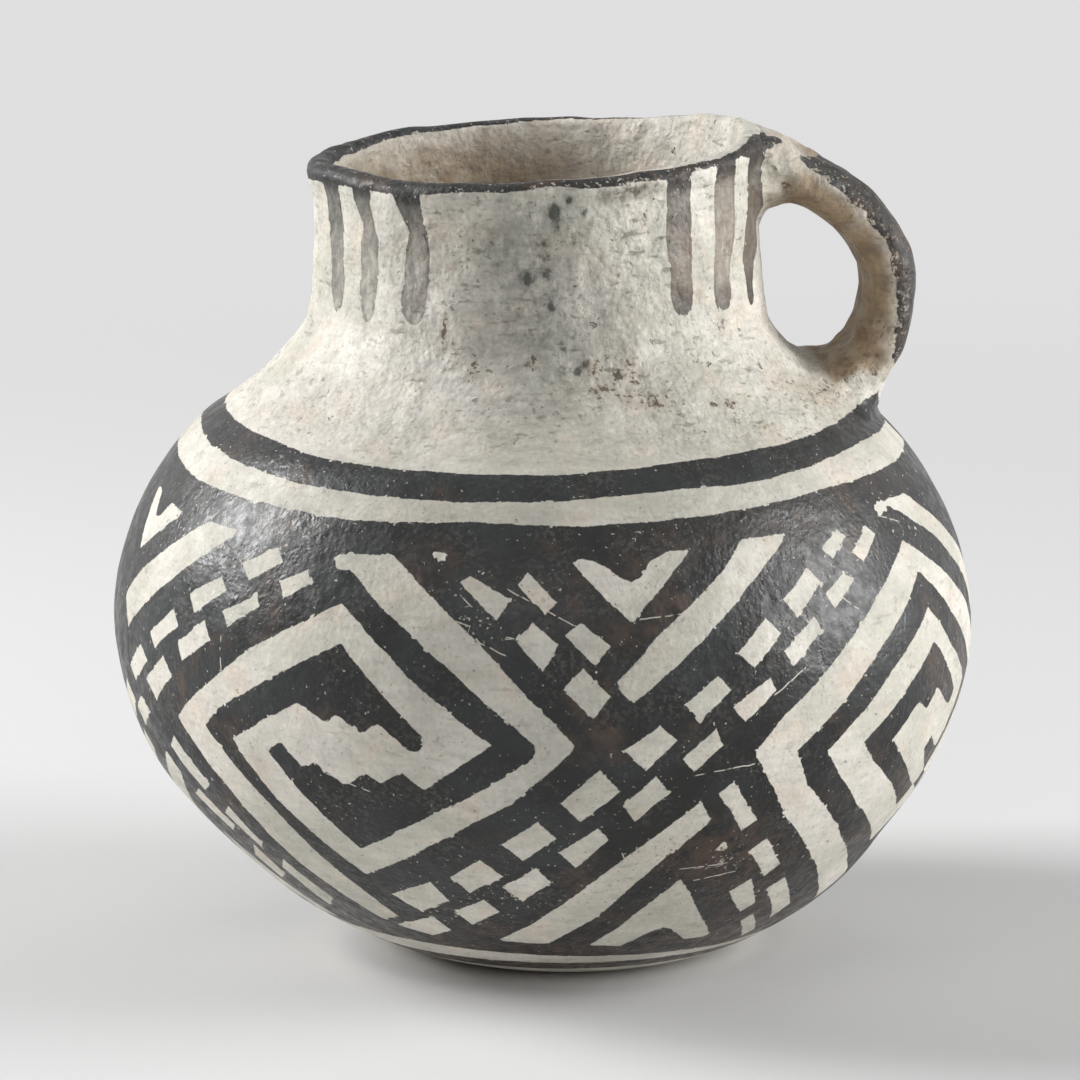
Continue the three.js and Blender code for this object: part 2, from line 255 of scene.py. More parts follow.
# Lines that go all the way round, by their places
BAND_TOP = [
    (-90, 136), (-60, 134.4), (-45, 132.2), (-30, 131.6), (0, 131.7), (20, 133.5), (40, 134.5), (60, 135.8),
    (70, 136.1), (76, 136), (79, 134.7), (82, 132.6), (86, 131.4), (92, 131.2), (100, 132.6), (120, 133.4),
    (150, 132.4), (180, 132.8), (210, 134), (240, 135),
]
BAND_BOTTOM = [
    (-90, 130.2), (-60, 127.3), (-45, 125.9), (-20, 125.2), (0, 126), (15, 127.2), (30, 127), (50, 129.2),
    (65, 130), (90, 128.8), (120, 127.4), (150, 126.4), (180, 127), (210, 128.4), (240, 129.4),
]
FIELD_TOP = [
    (-90, 123.8), (-70, 121.8), (-50, 121), (-35, 120.2), (-15, 121.6), (0, 120.9), (20, 121.6),
    (45, 123.6), (70, 123.7), (90, 124.2), (120, 122.6), (150, 121.4), (180, 121.8), (210, 122.4),
    (240, 123),
]
FIELD_BOTTOM = [
    (-90, 24), (-60, 24.6), (-40, 24.4), (-20, 23.4), (0, 21.8), (20, 21), (35, 20), (60, 20.6), (90, 22),
    (120, 23.4), (160, 23.6), (200, 22), (240, 22.6),
]
LINE_TOP = [(-90, 18), (-30, 17.8), (30, 17.4), (90, 17), (180, 17.8)]
LINE_BOTTOM = [(-90, 12.4), (-30, 12), (30, 12.4), (90, 12), (180, 12.6)]
LIP_PAINT_BOTTOM = [
    (-90, 186.6), (-70, 186.6), (-45, 187.5), (-25, 188.2), (0, 188.6), (10, 188.2), (25, 188), (40, 188.2),
    (57, 188.3), (64, 187), (69, 186.2), (80, 186.2), (88, 190), (96, 199), (104, 199), (112, 188),
    (130, 187.6), (150, 187.8), (180, 187.8), (210, 187), (240, 186.6),
]
LIP_PAINT_TOP = [
    (-90, 194), (-60, 193.2), (-20, 192), (10, 191.2), (25, 190.6), (40, 190), (57, 189.7), (66, 190.2),
    (72, 190.6), (76, 189.8), (80, 188.6), (84, 187.8), (92, 187), (104, 187), (112, 190.4), (135, 191.4),
    (165, 192.2), (180, 192.6), (225, 193.6), (250, 194),
]

# The pale band stops under the handle, where the dark above and below it meet
BAND_BRIDGE = [
    (87, 132), (85.4, 130), (84.8, 126.8), (86, 122), (98, 121), (99, 126), (98, 131.4), (92, 131.4),
]

SPIRAL = [
    (-35.1, 113.4), (-30, 114.2), (-25.9, 114.5), (-12.5, 98.9), (-0.9, 81.2), (-10, 69.5), (-25, 56.4),
    (-35, 49.2), (-45, 65.8), (-50.3, 77), (-37.8, 86.4), (-33.8, 83.4), (-32, 85.2), (-28.6, 82.2),
    (-26.6, 84.5), (-23.8, 81.4), (-22.5, 79.6), (-20.9, 79.5), (-20.1, 82), (-31.6, 98.2), (-42.5, 89.8),
    (-52, 82.4), (-55.3, 78.1), (-46.2, 62.6), (-35, 35.8), (-40, 33.2), (-48.8, 48.2), (-55, 65.8),
    (-62, 78.2), (-45, 95.4), (-32, 105.1), (-20, 90.6), (-11.6, 81.4), (-21.1, 72), (-23.9, 75.2),
    (-26.9, 72.7), (-29, 74.5), (-32.4, 71.4), (-36.4, 75.4), (-38.6, 73.9), (-41.2, 78.4), (-44.1, 76.4),
    (-33.4, 56.4), (-15, 71), (-6.6, 78.9), (-5.9, 81.4), (-17.5, 95.6), (-31.9, 111), (-33.8, 110.8),
]
LARGE_SPIRAL = [
    (58.5, 30.5), (50, 38.9), (40, 50.1), (30, 63.2), (22.9, 77.9), (26.9, 84.2), (35, 92), (45, 102),
    (55.6, 110.4), (65, 102), (75, 93), (84.5, 81), (76, 66), (61.5, 46.5), (55, 52.3), (45, 61.4),
    (38.8, 69.5), (34.7, 75.8), (45, 87.3), (56.6, 97.4), (63.8, 88.2), (72.5, 79.5), (67.5, 70.1),
    (66.2, 67.6), (63.8, 68.9), (60.9, 71.7), (59.4, 69.5), (65, 63.2), (69.5, 60.5), (69, 57), (60, 62),
    (52.5, 69.5), (48.2, 74.8), (53.1, 80.8), (55.9, 78.6), (58.8, 82), (63.1, 77.6), (65, 76.7),
    (66.2, 79.5), (60, 87.6), (56.9, 91.2), (47.5, 82), (41.6, 76), (45, 70.8), (55, 61.4), (60.5, 56),
    (70, 69), (77.5, 80.5), (67.5, 91.2), (56.9, 104.2), (45, 93.9), (29.4, 77), (32.5, 69.5), (45, 53.9),
    (55, 43.9), (64, 36.5),
]
LARGE_SPIRAL_CAP = [
    (51.9, 118.1), (63.1, 117.9), (72, 109.4), (80, 102), (95, 82), (83, 62), (70, 41.5), (66, 46.5),
    (77.5, 63), (88.5, 81.5), (75, 99.6), (65, 109.8), (56.2, 117.1), (52.5, 115.6),
]
FORK = [
    (-1.2, 114.8), (1.2, 114.5), (3.8, 113.2), (5.6, 111.1), (7.2, 110.2), (8.8, 111.4), (10, 113.9),
    (12.5, 115.4), (16.2, 115.6), (10, 107.6), (6.6, 103.2), (3.8, 107), (1.2, 110.8),
]
LEFT_FORK = [
    (-84, 117), (-80.5, 116.5), (-77, 112), (-75.2, 112.5), (-73.5, 115.8), (-68, 115), (-78, 105.2),
]
HIGH_BAR = [
    (24.4, 116.4), (32.5, 116.6), (24.4, 108.6), (16.2, 99.5), (6.2, 88.9), (4, 92.3), (10.6, 101.4),
    (20, 110.8),
]
LEFT_HIGH_BAR = [
    (-60, 115.4), (-52.5, 115.1), (-65, 102.6), (-75.9, 91.4), (-78.9, 96.4), (-75, 101.4), (-67.5, 108.9),
]
LOW_BAR = [
    (15.9, 68.8), (18.1, 64.5), (10, 53.2), (2.5, 39.5), (-2.5, 33.6), (-7.2, 28.6), (-17.5, 29.2),
    (-9.4, 36.4), (-3.1, 43.9), (6.2, 57),
]
NOTCHED_FOOT = [
    (15.3, 50.1), (19.4, 41.4), (27.8, 27), (21.9, 27), (17.5, 32.6), (15.6, 33.6), (13.1, 32.6),
    (7.8, 26.7), (0.9, 27.5), (5.6, 33.2), (10.6, 42),
]
SPECK_FIGURES = [
    [(20.9, 59.2), (21.8, 56.1), (19.7, 57)],
    [(-20.3, 115.4), (-18.1, 115.4), (-19, 113.6)],
]
# Checkers, each by its four corners: beside the fork, then in two rows up the slope, then down to the foot
FORK_CHECKERS = [
    [(-15.8, 110.2), (-14.7, 111.5), (-9.1, 107.6), (-10.9, 103.7)],
    [(-8.2, 110.2), (-6.9, 112.3), (-3.2, 107), (-4.5, 104.9)],
    [(-8.4, 100.2), (-6.2, 103.4), (-2.9, 99.5), (-5, 94.9)],
    [(-2.2, 101.2), (0, 103.3), (3.6, 99.2), (1.6, 95.9)],
    [(-2.5, 91.7), (0, 95.3), (3.4, 90.4), (1.2, 86.3)],
]
SLOPE_CHECKERS = [
    [(-32.4, 43.9), (-24.1, 49.1), (-22.2, 43.6), (-28.8, 38.7)],
    [(-20.3, 51.1), (-15.1, 56.1), (-12.2, 52), (-18.1, 46.7)],
    [(-11.5, 60.4), (-6.2, 66), (-3.9, 62), (-8.8, 56.5)],
    [(-3.2, 70.1), (2, 76.6), (4.8, 72.3), (-0.5, 65.9)],
    [(5.3, 80.4), (9.7, 84.7), (12, 81.7), (8, 76.2)],
    [(12.8, 88.2), (17.6, 92.8), (19.3, 90.1), (15, 85.2)],
    [(20.6, 96.4), (25.3, 101.8), (27.4, 98.9), (22.8, 93.6)],
    [(28.6, 104.8), (33.6, 109.6), (35.4, 106.7), (30.3, 101.2)],
    [(37.3, 112.6), (41.6, 115.6), (42.7, 113.9), (38.8, 110.2)],
    [(-37.7, 31.7), (-27.2, 37.2), (-25.6, 32.3), (-31, 28.9)],
    [(-22.2, 40.1), (-16.2, 44.8), (-14.3, 40.8), (-20.3, 35.6)],
    [(-12.4, 48.9), (-7, 54.4), (-4.9, 50.4), (-9.9, 44.3)],
    [(-3.6, 58.6), (1.9, 64.4), (3.5, 61.4), (-1.2, 54.6)],
    [(5.1, 69.2), (9.4, 75.2), (11.3, 71.7), (6.9, 65.6)],
    [(12.8, 78.1), (17.2, 83.4), (18.3, 80.1), (14.5, 75.6)],
    [(19.5, 87), (25, 91.6), (25.7, 89.2), (21.2, 84)],
    [(27.3, 95.8), (33.1, 101), (34, 98.2), (28.6, 92.9)],
    [(35.7, 104.5), (39.9, 107.5), (41.8, 106.1), (36.9, 101.8)],
    [(43, 110.8), (48, 114.8), (49.3, 112.9), (44.7, 108.8)],
]
LEFT_SLOPE_CHECKERS = [
    [(-49.9, 109.2), (-44.5, 113.4), (-42.9, 110.8), (-48.1, 106.5)],
    [(-42.6, 107.5), (-38.4, 110.2), (-37.4, 107.9), (-41.4, 104.4)],
    [(-59.3, 101.7), (-53.4, 106), (-51.7, 103.9), (-57.5, 98.7)],
    [(-51.8, 100.1), (-45.9, 104.7), (-45.1, 102.3), (-50.3, 97.7)],
    [(-67.7, 92.6), (-62.2, 98.1), (-60.7, 95.4), (-66.1, 89.9)],
    [(-60.3, 92.5), (-55, 97.7), (-53.2, 94.5), (-59.1, 89.3)],
    [(-76.1, 84), (-70.8, 89.7), (-68.6, 87), (-74.4, 81.3)],
    [(-69.6, 83.2), (-63.8, 89.1), (-61.8, 85.8), (-67.2, 80.2)],
    [(-77.7, 75.4), (-73, 79.1), (-71, 76.4), (-75.9, 72.1)],
    [(-85.6, 75.4), (-80, 80.4), (-77.6, 77), (-83, 71.6)],
    [(-84, 66), (-78.8, 70.6), (-76.6, 67.2), (-81.6, 62.4)],
]
FOOT_CHECKERS = [
    [(18.3, 70.4), (20.3, 72.3), (25.3, 63.2), (23.1, 61.2)],
    [(25.7, 55.4), (28.1, 58.2), (33.3, 50), (31.2, 47.2)],
    [(25.3, 43.9), (28.6, 47.2), (33, 38.2), (30.9, 35.5)],
    [(33.7, 42.6), (36.4, 45.1), (45.5, 33.6), (43.2, 29.2)],
    [(33.4, 31.4), (35.3, 33.5), (42.7, 24.5), (40.6, 21.7)],
]
LEFT_FOOT_CHECKERS = [
    [(-67, 70.8), (-64.8, 73.5), (-59.9, 64.8), (-62.6, 62.5)],
    [(-67.7, 60.1), (-64.7, 62.2), (-60.6, 54.8), (-63.1, 52.5)],
    [(-60.5, 57.9), (-58.1, 60.3), (-55.6, 52), (-57.2, 50.1)],
    [(-63.6, 45.8), (-59.4, 50.4), (-58.6, 42), (-63.1, 39.2)],
    [(-56.8, 44.5), (-53.4, 47.9), (-49.2, 37.6), (-53.8, 33.6)],
]
LEFT_SHIFT = -86

# Stripes down the neck: how thin the paint is on each, and their outlines
STRIPE_THINNESS = [0.5, 0.66, 0.55, 0.27, 0.46, 0.17]
STRIPES = [
    [
        (-72.4, 189), (-64, 189), (-64.2, 182.2), (-62.8, 175.2), (-62.8, 165.2), (-63.8, 163.4),
        (-65.4, 162.2), (-67.2, 162.8), (-69, 164.5), (-69.8, 174.5), (-72.2, 181.5),
    ],
    [
        (-57, 189), (-50.2, 189), (-50.2, 184.5), (-49, 180), (-47.5, 177.5), (-48.2, 171.5),
        (-49.4, 166.5), (-49.8, 163), (-51.6, 161.6), (-53.6, 162.4), (-55.2, 166), (-55, 170.8),
        (-54.2, 177), (-53, 180), (-56.4, 184),
    ],
    [
        (-42, 189), (-34, 189), (-34.4, 184.2), (-32.8, 180), (-32.5, 176.2), (-33, 170.5), (-33.5, 165.8),
        (-34.4, 163.4), (-36.8, 162.4), (-39.2, 163.2), (-40.8, 165.2), (-40.2, 170), (-39.5, 176),
        (-38.2, 180), (-40.8, 184),
    ],
    [
        (29.6, 189), (37.4, 189), (37.8, 176.5), (37.4, 171.2), (38, 168), (38, 166.2), (37.2, 164.4),
        (35, 163.7), (32.4, 164), (31.2, 165), (30.5, 166.4), (30.1, 168.5), (29.9, 171.8), (29.4, 177),
    ],
    [
        (46.2, 189), (55, 189), (55.2, 174.8), (53.4, 166.5), (52.4, 164.2), (50.4, 163.4), (47.6, 163.4),
        (46.2, 164.2), (45.8, 165.5), (46.6, 175.8),
    ],
    [
        (62.2, 189), (76, 189), (76, 178), (74, 172), (69.2, 168.2), (65.6, 164.8), (63.8, 163), (62, 163),
        (61.2, 165), (61.4, 169), (62.2, 174), (64.2, 180),
    ],
]
BACK_TURN = 180

# Where the stripes' paint thickens, in millimetres up the wall, and by what share it does. Its thinness
# reaches a little past the outline, where the paint's ragged edge does.
STRIPE_ENDS = (166.6, 169.2)
STRIPE_TOPS = (172, 183)
STRIPE_INTO_LIP = (184.2, 186.8)
STRIPE_REACH = 2
HANDLE_STRIPES_FROM = (15, 25)
THICK_ENDS = 0.55
THICK_TOPS = 0.55
THICK_TOPS_AT_HANDLE = 0.15


def wall_figures():
    """The pale figures of the painted zone but the checkers: the front's, and again for the back."""
    shifted = [[(u + LEFT_SHIFT, s) for u, s in figure] for figure in (LOW_BAR, NOTCHED_FOOT)]
    front = [SPIRAL, LARGE_SPIRAL, LARGE_SPIRAL_CAP, FORK, LEFT_FORK, HIGH_BAR, LEFT_HIGH_BAR, LOW_BAR]
    front += [NOTCHED_FOOT, *shifted, *SPECK_FIGURES]
    return front + turned_half(front)


def wall_checkers():
    front = FORK_CHECKERS + SLOPE_CHECKERS + LEFT_SLOPE_CHECKERS + FOOT_CHECKERS + LEFT_FOOT_CHECKERS
    return front + turned_half(front)


def turned_half(outlines):
    return [[(u + BACK_TURN, s) for u, s in figure] for figure in outlines]


# Millimetres from a figure, the paint's edge and a checker beyond which distance isn't told apart
FAR = 12.0
EDGE_FAR = 4.0
CHECKER_FAR = 1.3


def near_figure(corners, around, along, scale, reach):
    """Indices of the places near a figure, with their degrees, their millimetres and the scale there."""
    middle = corners[:, 0].mean()
    u = degrees_aside(around, middle) + middle
    low, high = corners.min(axis=0), corners.max(axis=0)
    near = (u > low[0] - reach / scale) & (u < high[0] + reach / scale)
    place = np.flatnonzero(near & (along > low[1] - reach) & (along < high[1] + reach))
    return place, u[place], along[place], scale[place]


def inside_by(figure, around, along, scale):
    """How far each place lies inside a closed outline, in millimetres, and negative outside it."""
    corners = np.array(figure, float)
    place, u, s, k = near_figure(corners, around, along, scale, FAR)
    closest = np.full(len(u), np.inf)
    crossings = np.zeros(len(u), bool)
    for (u1, s1), (u2, s2) in zip(corners, np.roll(corners, -1, axis=0)):
        x1, y1, dx, dy = (u1 - u) * k, s1 - s, (u2 - u1) * k, s2 - s1
        t = np.clip(-(x1 * dx + y1 * dy) / np.maximum(dx * dx + dy * dy, 1e-9), 0, 1)
        closest = np.minimum(closest, (x1 + t * dx) ** 2 + (y1 + t * dy) ** 2)
        if s1 != s2:
            crossings ^= ((s1 > s) != (s2 > s)) & (u < u1 + (s - s1) * (u2 - u1) / (s2 - s1))
    result = np.full(len(around), -FAR)
    result[place] = np.where(crossings, 1, -1) * np.minimum(np.sqrt(closest), FAR)
    return result


def checker_sides(around, along, scale):
    """How far each place lies inside the nearest checker, by one pair of its sides and by the other.
    The material takes the smaller, which keeps the corners sharp between vertices."""
    sides = np.full((2, len(around)), -FAR)
    best = np.full(len(around), -FAR)
    for checker in wall_checkers():
        corners = np.array(checker, float)
        onward = np.roll(corners, -1, axis=0)
        place, u, s, k = near_figure(corners, around, along, scale, EDGE_FAR)
        x, y = (corners[:, :1] - u) * k, corners[:, 1:] - s
        dx, dy = np.roll(x, -1, axis=0) - x, np.roll(y, -1, axis=0) - y
        area = (corners[:, 0] * onward[:, 1] - onward[:, 0] * corners[:, 1]).sum()
        inside = (x * dy - y * dx) / np.hypot(dx, dy) * math.copysign(1, area)
        pairs = np.minimum(inside[:2], inside[2:])
        least = pairs.min(axis=0)
        pairs = np.where(least < -CHECKER_FAR, least, pairs)
        closer = least > best[place]
        sides[:, place[closer]] = pairs[:, closer]
        best[place[closer]] = least[closer]
    return np.clip(sides, -EDGE_FAR, EDGE_FAR)


def ring_line(places, around):
    """Height of a line that goes round the wall, at each direction, with its corners eased."""
    u, s = np.array(places, float).T
    wrapped = (around - u[0]) % 360 + u[0]
    fine = np.linspace(u[0], u[0] + 360, 361)
    rough = np.interp(fine, np.append(u, u[0] + 360), np.append(s, s[0]))[:-1]
    spread = bell(np.arange(-EASE_REACH, EASE_REACH + 1) / EASE_WIDTH)
    longer = np.concatenate([rough[-EASE_REACH:], rough, rough[:EASE_REACH]])
    eased = np.convolve(longer, spread / spread.sum(), "valid")
    return np.interp(wrapped, fine, np.append(eased, eased[0]))


def between(low, high, around, along):
    """How far each place lies between two lines that go round the wall."""
    return np.minimum(along - ring_line(low, around), ring_line(high, around) - along)


def wall_paint(around, along, scale):
    """(how far inside the paint each place lies, how thin the paint is there)."""
    field = between(FIELD_BOTTOM, FIELD_TOP, around, along)
    for figure in wall_figures():
        field = np.minimum(field, -inside_by(figure, around, along, scale))
    stripes = np.full(len(around), -FAR)
    thin = np.zeros(len(around))
    for thinness, figure in zip(STRIPE_THINNESS * 2, STRIPES + turned_half(STRIPES)):
        inside = inside_by(figure, around, along, scale)
        thin = np.where(inside > np.maximum(stripes, -STRIPE_REACH), thinness, thin)
        stripes = np.maximum(stripes, inside)
    paint = np.maximum.reduce([
        field,
        stripes,
        between(BAND_BOTTOM, BAND_TOP, around, along),
        between(LINE_BOTTOM, LINE_TOP, around, along),
        inside_by(BAND_BRIDGE, around, along, scale),
        between(LIP_PAINT_BOTTOM, LIP_PAINT_TOP, around, along),
    ])
    near_handle = smooth(around % 180, *HANDLE_STRIPES_FROM) * (around % 180 < 90)
    ends = 1 - THICK_ENDS * near_handle * (1 - smooth(along, *STRIPE_ENDS))
    thick_tops = THICK_TOPS + (THICK_TOPS_AT_HANDLE - THICK_TOPS) * near_handle
    tops = 1 - thick_tops * smooth(along, *STRIPE_TOPS)
    return np.clip(paint, -EDGE_FAR, EDGE_FAR), thin * ends * tops * (1 - smooth(along, *STRIPE_INTO_LIP))


# Marks of firing and age, with some painted shade and sheen among them, each at a place on the wall
# with its two half widths in mm and its strength
# Soot of the firing. The small strong marks are smoke specks. The broad faint ones, across the front of the
# neck, band and belly and on the left shoulder, are partly smoke and partly painted shade.
SOOT_AND_SHADE = [
    (-0.2, 184, 1.1, 1.3, 2.2), (0.4, 181.4, 0.7, 0.7, 2), (-3.4, 178.6, 1.3, 0.8, 1.3),
    (-2.6, 176, 0.6, 0.6, 1.8), (-2.4, 172.4, 0.7, 0.8, 2), (-7, 172, 1.1, 1.1, 1.2),
    (-1.6, 167, 0.6, 0.8, 1.8), (7.4, 183.4, 0.7, 0.9, 2), (8.6, 181.6, 0.6, 0.7, 2),
    (3.4, 186, 0.6, 0.7, 2), (16, 186.5, 4, 1, 1.7), (24, 186.7, 3, 0.9, 1.7), (4.2, 178.6, 0.6, 0.9, 1),
    (1.2, 159.6, 0.8, 0.6, 2), (-7.6, 156.6, 0.7, 0.6, 1.3), (0.6, 155.6, 0.8, 0.7, 1.1),
    (4, 154.6, 0.7, 0.7, 1.8), (6.2, 156.4, 0.7, 0.7, 1.5), (2, 151, 0.9, 0.7, 1.2),
    (-14, 177.8, 4, 5, 0.4), (-56, 143, 14, 7, 0.28), (77.3, 147.4, 2.2, 1.5, 0.55), (-9, 170, 9, 14, 0.42),
    (0, 176, 10, 12, 0.35), (-3, 160, 16, 10, 0.35), (10, 150, 16, 8, 0.3), (-9, 146, 14, 7, 0.3),
    (15, 166, 6, 9, 0.3), (-28, 160, 8, 8, 0.08), (0, 124, 20, 5, 0.22), (-3, 70, 24, 30, 0.2),
    (128, 160, 16, 14, 0.5), (205, 150, 18, 12, 0.45), (-110, 168, 9, 12, 0.3), (165, 178, 8, 6, 0.5),
    (150, 176, 1.4, 2, 2), (188, 166, 1.6, 1.2, 2), (196, 172, 0.9, 0.9, 2), (-96, 170, 1, 1.4, 1.8),
    (172, 158, 0.8, 0.6, 2), (222, 162, 1.2, 1, 1.8),
]
RUST = [
    (11.5, 159.5, 1.2, 0.6, 2.4), (8.2, 155.5, 0.9, 0.8, 2), (-6.2, 157, 0.9, 0.8, 1.6),
    (13.2, 154, 0.8, 0.7, 2.4), (16.8, 156, 1.1, 0.9, 1.8), (9, 150.8, 1.3, 0.8, 1.8),
    (16.8, 152.5, 1, 0.6, 1.8), (20.2, 147.5, 1.4, 0.9, 1.6), (32.8, 145.8, 1.3, 0.7, 1.5),
    (37.8, 145.8, 1.3, 0.9, 1.5), (-28.5, 161.2, 0.6, 1.3, 1.8), (-28, 164, 0.5, 1, 1.7),
    (4, 173.8, 0.5, 0.5, 2.2), (4.5, 170.5, 0.5, 0.5, 2.2), (23.5, 182, 0.5, 0.5, 2),
    (23.2, 180.2, 0.5, 0.5, 2), (-20.2, 154.8, 1.7, 1.4, 1.3), (-22, 156.5, 2.6, 1.2, 0.7),
    (8, 155.8, 1.6, 1.2, 1.0), (14.8, 154, 4.2, 1.4, 1.0), (8, 151.2, 3, 1.1, 0.8),
    (14, 149.4, 2.6, 1.2, 1.1), (20, 148.2, 3.6, 1.8, 0.9), (37.8, 145.8, 3.2, 1.8, 0.6),
    (46.8, 161.5, 1.6, 2.6, 1.0), (-28, 163.8, 1.1, 2.6, 0.7), (-26, 159, 1, 2, 0.9),
    (-29.5, 159.5, 1.4, 2, 0.5), (-6, 157, 1.1, 1, 0.8), (18, 57, 8, 7, 1.0), (54, 84, 3, 3, 0.8),
    (16, 186.6, 7, 1.5, 0.5), (26, 186.8, 6, 1.2, 0.45), (66, 145, 9, 4, 0.6), (72, 141, 7, 3, 0.7),
    (56, 62, 2, 4, 0.6), (-47.2, 147.5, 2, 1.6, 0.5), (150, 152, 5, 2, 0.9), (196, 160, 3, 4, 0.8),
    (-120, 158, 4, 3, 0.8), (120, 140, 6, 2, 0.7), (82, 180, 2.2, 2.2, 1.4), (2, 178, 5, 3, 0.5),
    (-22, 180, 4, 5, 0.5),
]
BROWN = [
    (33, 172, 6, 9, 0.9), (50, 176, 7, 12, 0.9), (67, 176, 6, 12, 0.9), (-46, 118, 5, 2.4, 1.0),
    (14, 117, 7, 4, 0.5), (34, 119, 10, 4, 0.6), (60, 122, 8, 5, 0.6), (27, 50, 9, 12, 0.7),
    (18, 56, 9, 8, 0.9), (-10, 26, 40, 5, 0.7), (38, 30, 16, 12, 0.8), (0, 15, 80, 4, 0.9),
    (100, 15, 80, 4, 0.9), (62, 61, 9, 8, 0.9), (45, 70, 5, 6, 0.5), (66, 84, 5, 5, 0.8),
    (10, 38, 14, 5, 0.6), (-62, 40, 8, 8, 0.6), (160, 70, 14, 12, 0.7), (-120, 50, 16, 10, 0.7),
    (120, 110, 12, 6, 0.6), (200, 15, 80, 4, 0.9), (30, 188, 12, 4, 0.8),
]
# Paint worn through to the slip. The marks on the upper left of the belly and of the band are painted
# sheen: they lighten the dark paint where its highlight falls.
WEAR_AND_SHEEN = [
    (-58, 112, 14, 7, 0.6), (-44, 117, 8, 4, 0.5), (-52, 129, 10, 3, 0.4), (22, 53, 4, 2.4, 0.9),
    (-11, 47, 7, 4, 0.6), (-20, 39, 6, 4, 0.6), (26, 99, 6, 3, 0.5), (5, 188, 20, 2, 0.8),
    (-13, 104, 5, 5, 0.6), (8, 119, 9, 2, 0.4), (110, 96, 12, 10, 0.5), (190, 110, 14, 8, 0.6),
    (-125, 90, 10, 12, 0.5), (140, 190, 16, 4, 0.9), (60, 112, 6, 6, 0.4), (36, 106, 5, 4, 0.5),
]
SOIL = [
    (-135, 205, 22, 26, 0.6), (-165, 206, 22, 24, 0.42), (180, 212, 14, 14, 0.4), (150, 242, 50, 26, 0.8),
    (60, 214, 30, 20, 0.4),
]

# Scratches through the paint, each from one place to another
SCRATCHES = [
    ((-15.5, 107.5), (-12.6, 104)), ((-17, 103.6), (-7.6, 100.2)), ((-9.6, 109.4), (-6.6, 107.2)),
    ((-4.5, 105.6), (0.6, 101.8)), ((-13.4, 100), (-8.6, 97)), ((19.6, 87.4), (33.4, 91.4)),
    ((25.4, 88.2), (30.8, 92.6)), ((38.4, 103.4), (41.4, 100.4)), ((14.6, 52.6), (22.6, 53)),
    ((16.8, 48.8), (25, 50.2)), ((-10.2, 87), (-7, 84.2)), ((-35, 73.4), (-28.8, 70.6)),
    ((7.4, 103.6), (14.8, 104.2)), ((14.6, 74.6), (23.2, 75.8)), ((29.6, 104.4), (33, 98)),
    ((-51.4, 96), (-50.6, 84)), ((52, 116), (57, 113.6)), ((-61.8, 117), (-58.6, 110)), ((5, 60), (7, 52)),
    ((148, 96), (158, 90)), ((172, 70), (178, 60)), ((-128, 84), (-119, 78)), ((120, 60), (124, 71)),
    ((-160, 104), (-152, 108)), ((100, 84), (108, 88)),
]
SCRATCH_REACH = 1.6
SCRATCH_NEAR = 14
NO_SCRATCH = 2.0


def scratch_lines(around, along, scale):
    """(signed distance across the nearest scratch, distance inside its ends) of each place, in mm."""
    across = np.full(len(around), NO_SCRATCH)
    within = np.full(len(around), -EDGE_FAR)
    for (u1, s1), (u2, s2) in SCRATCHES:
        x = degrees_aside(around, (u1 + u2) / 2) * scale
        y = along - (s1 + s2) / 2
        near = np.flatnonzero(np.hypot(x, y) < SCRATCH_NEAR)
        dx, dy = (u2 - u1) * scale[near], s2 - s1
        length = np.hypot(dx, dy)
        aside = (x[near] * dy - y[near] * dx) / length
        inward = length / 2 - np.abs((x[near] * dx + y[near] * dy) / length)
        chosen = (np.abs(aside) < SCRATCH_REACH + 1) & (inward > -2)
        across[near[chosen]] = aside[chosen]
        within[near[chosen]] = np.where(np.abs(aside[chosen]) < SCRATCH_REACH, inward[chosen], -EDGE_FAR)
    return across, np.clip(within, -EDGE_FAR, EDGE_FAR)


def marks(places, around, along, scale):
    """Strength of a kind of mark at each place."""
    total = np.zeros(len(around))
    for u, s, wide, high, strength in places:
        aside = degrees_aside(around, u) * scale
        total += strength * bell(aside / wide, (along - s) / high)
    return total


def add_object(name, data):
    """A new object in the scene, from its mesh, lamp or camera."""
    holder = bpy.data.objects.new(name, data)
    bpy.context.collection.objects.link(holder)
    return holder


def make_piece(name, points, faces, fields):
    """A mesh object in metres from points in millimetres, with a float attribute for each field."""
    mesh = bpy.data.meshes.new(name)
    mesh.from_pydata(points * MM, [], faces)
    mesh.polygons.foreach_set("use_smooth", np.ones(len(mesh.polygons), bool))
    for field, values in fields.items():
        layer = mesh.attributes.new(field, "FLOAT", "POINT")
        layer.data.foreach_set("value", np.asarray(values, np.float32))
    mesh.update()
    return add_object(name, mesh)


def joined_rings(first, count, next_first, next_count):
    """Faces between two closed rings of vertices, one of which may have a multiple of the other's."""
    if count == next_count:
        pairs = [(i, (i + 1) % count) for i in range(count)]
        return [[first + i, first + j, next_first + j, next_first + i] for i, j in pairs]
    fine, coarse = max(count, next_count), min(count, next_count)
    fine_first, coarse_first = (first, next_first) if count > next_count else (next_first, first)
    share = fine // coarse
    half = share // 2
    faces = []
    for i in range(coarse):
        near, far = coarse_first + i, coarse_first + (i + 1) % coarse
        edge = [fine_first + (i * share + step) % fine for step in range(share + 1)]
        faces += [[edge[step], edge[step + 1], near if step < half else far] for step in range(share)]
        faces.append([edge[half], far, near])
    return faces if count > next_count else [face[::-1] for face in faces]


# Rings of the skins: in the foot's hollow, from there to the foot's edge, over the lip and on the floor
HOLLOW_RINGS = 6
FOOT_RING_RADII = (18.5, 22.5, FOOT_RADIUS)
LIP_RINGS = 9
FLOOR_RADII = (FLOOR_RADIUS, FLOOR_RADIUS * 0.66, FLOOR_RADIUS * 0.33)

# Places along the outer face where the painted zone's fineness begins and ends, and the place of the inside
PAINTED_FROM = 10
NECK_FROM = 142
INNER_FROM = WALL_LENGTH + 6.3


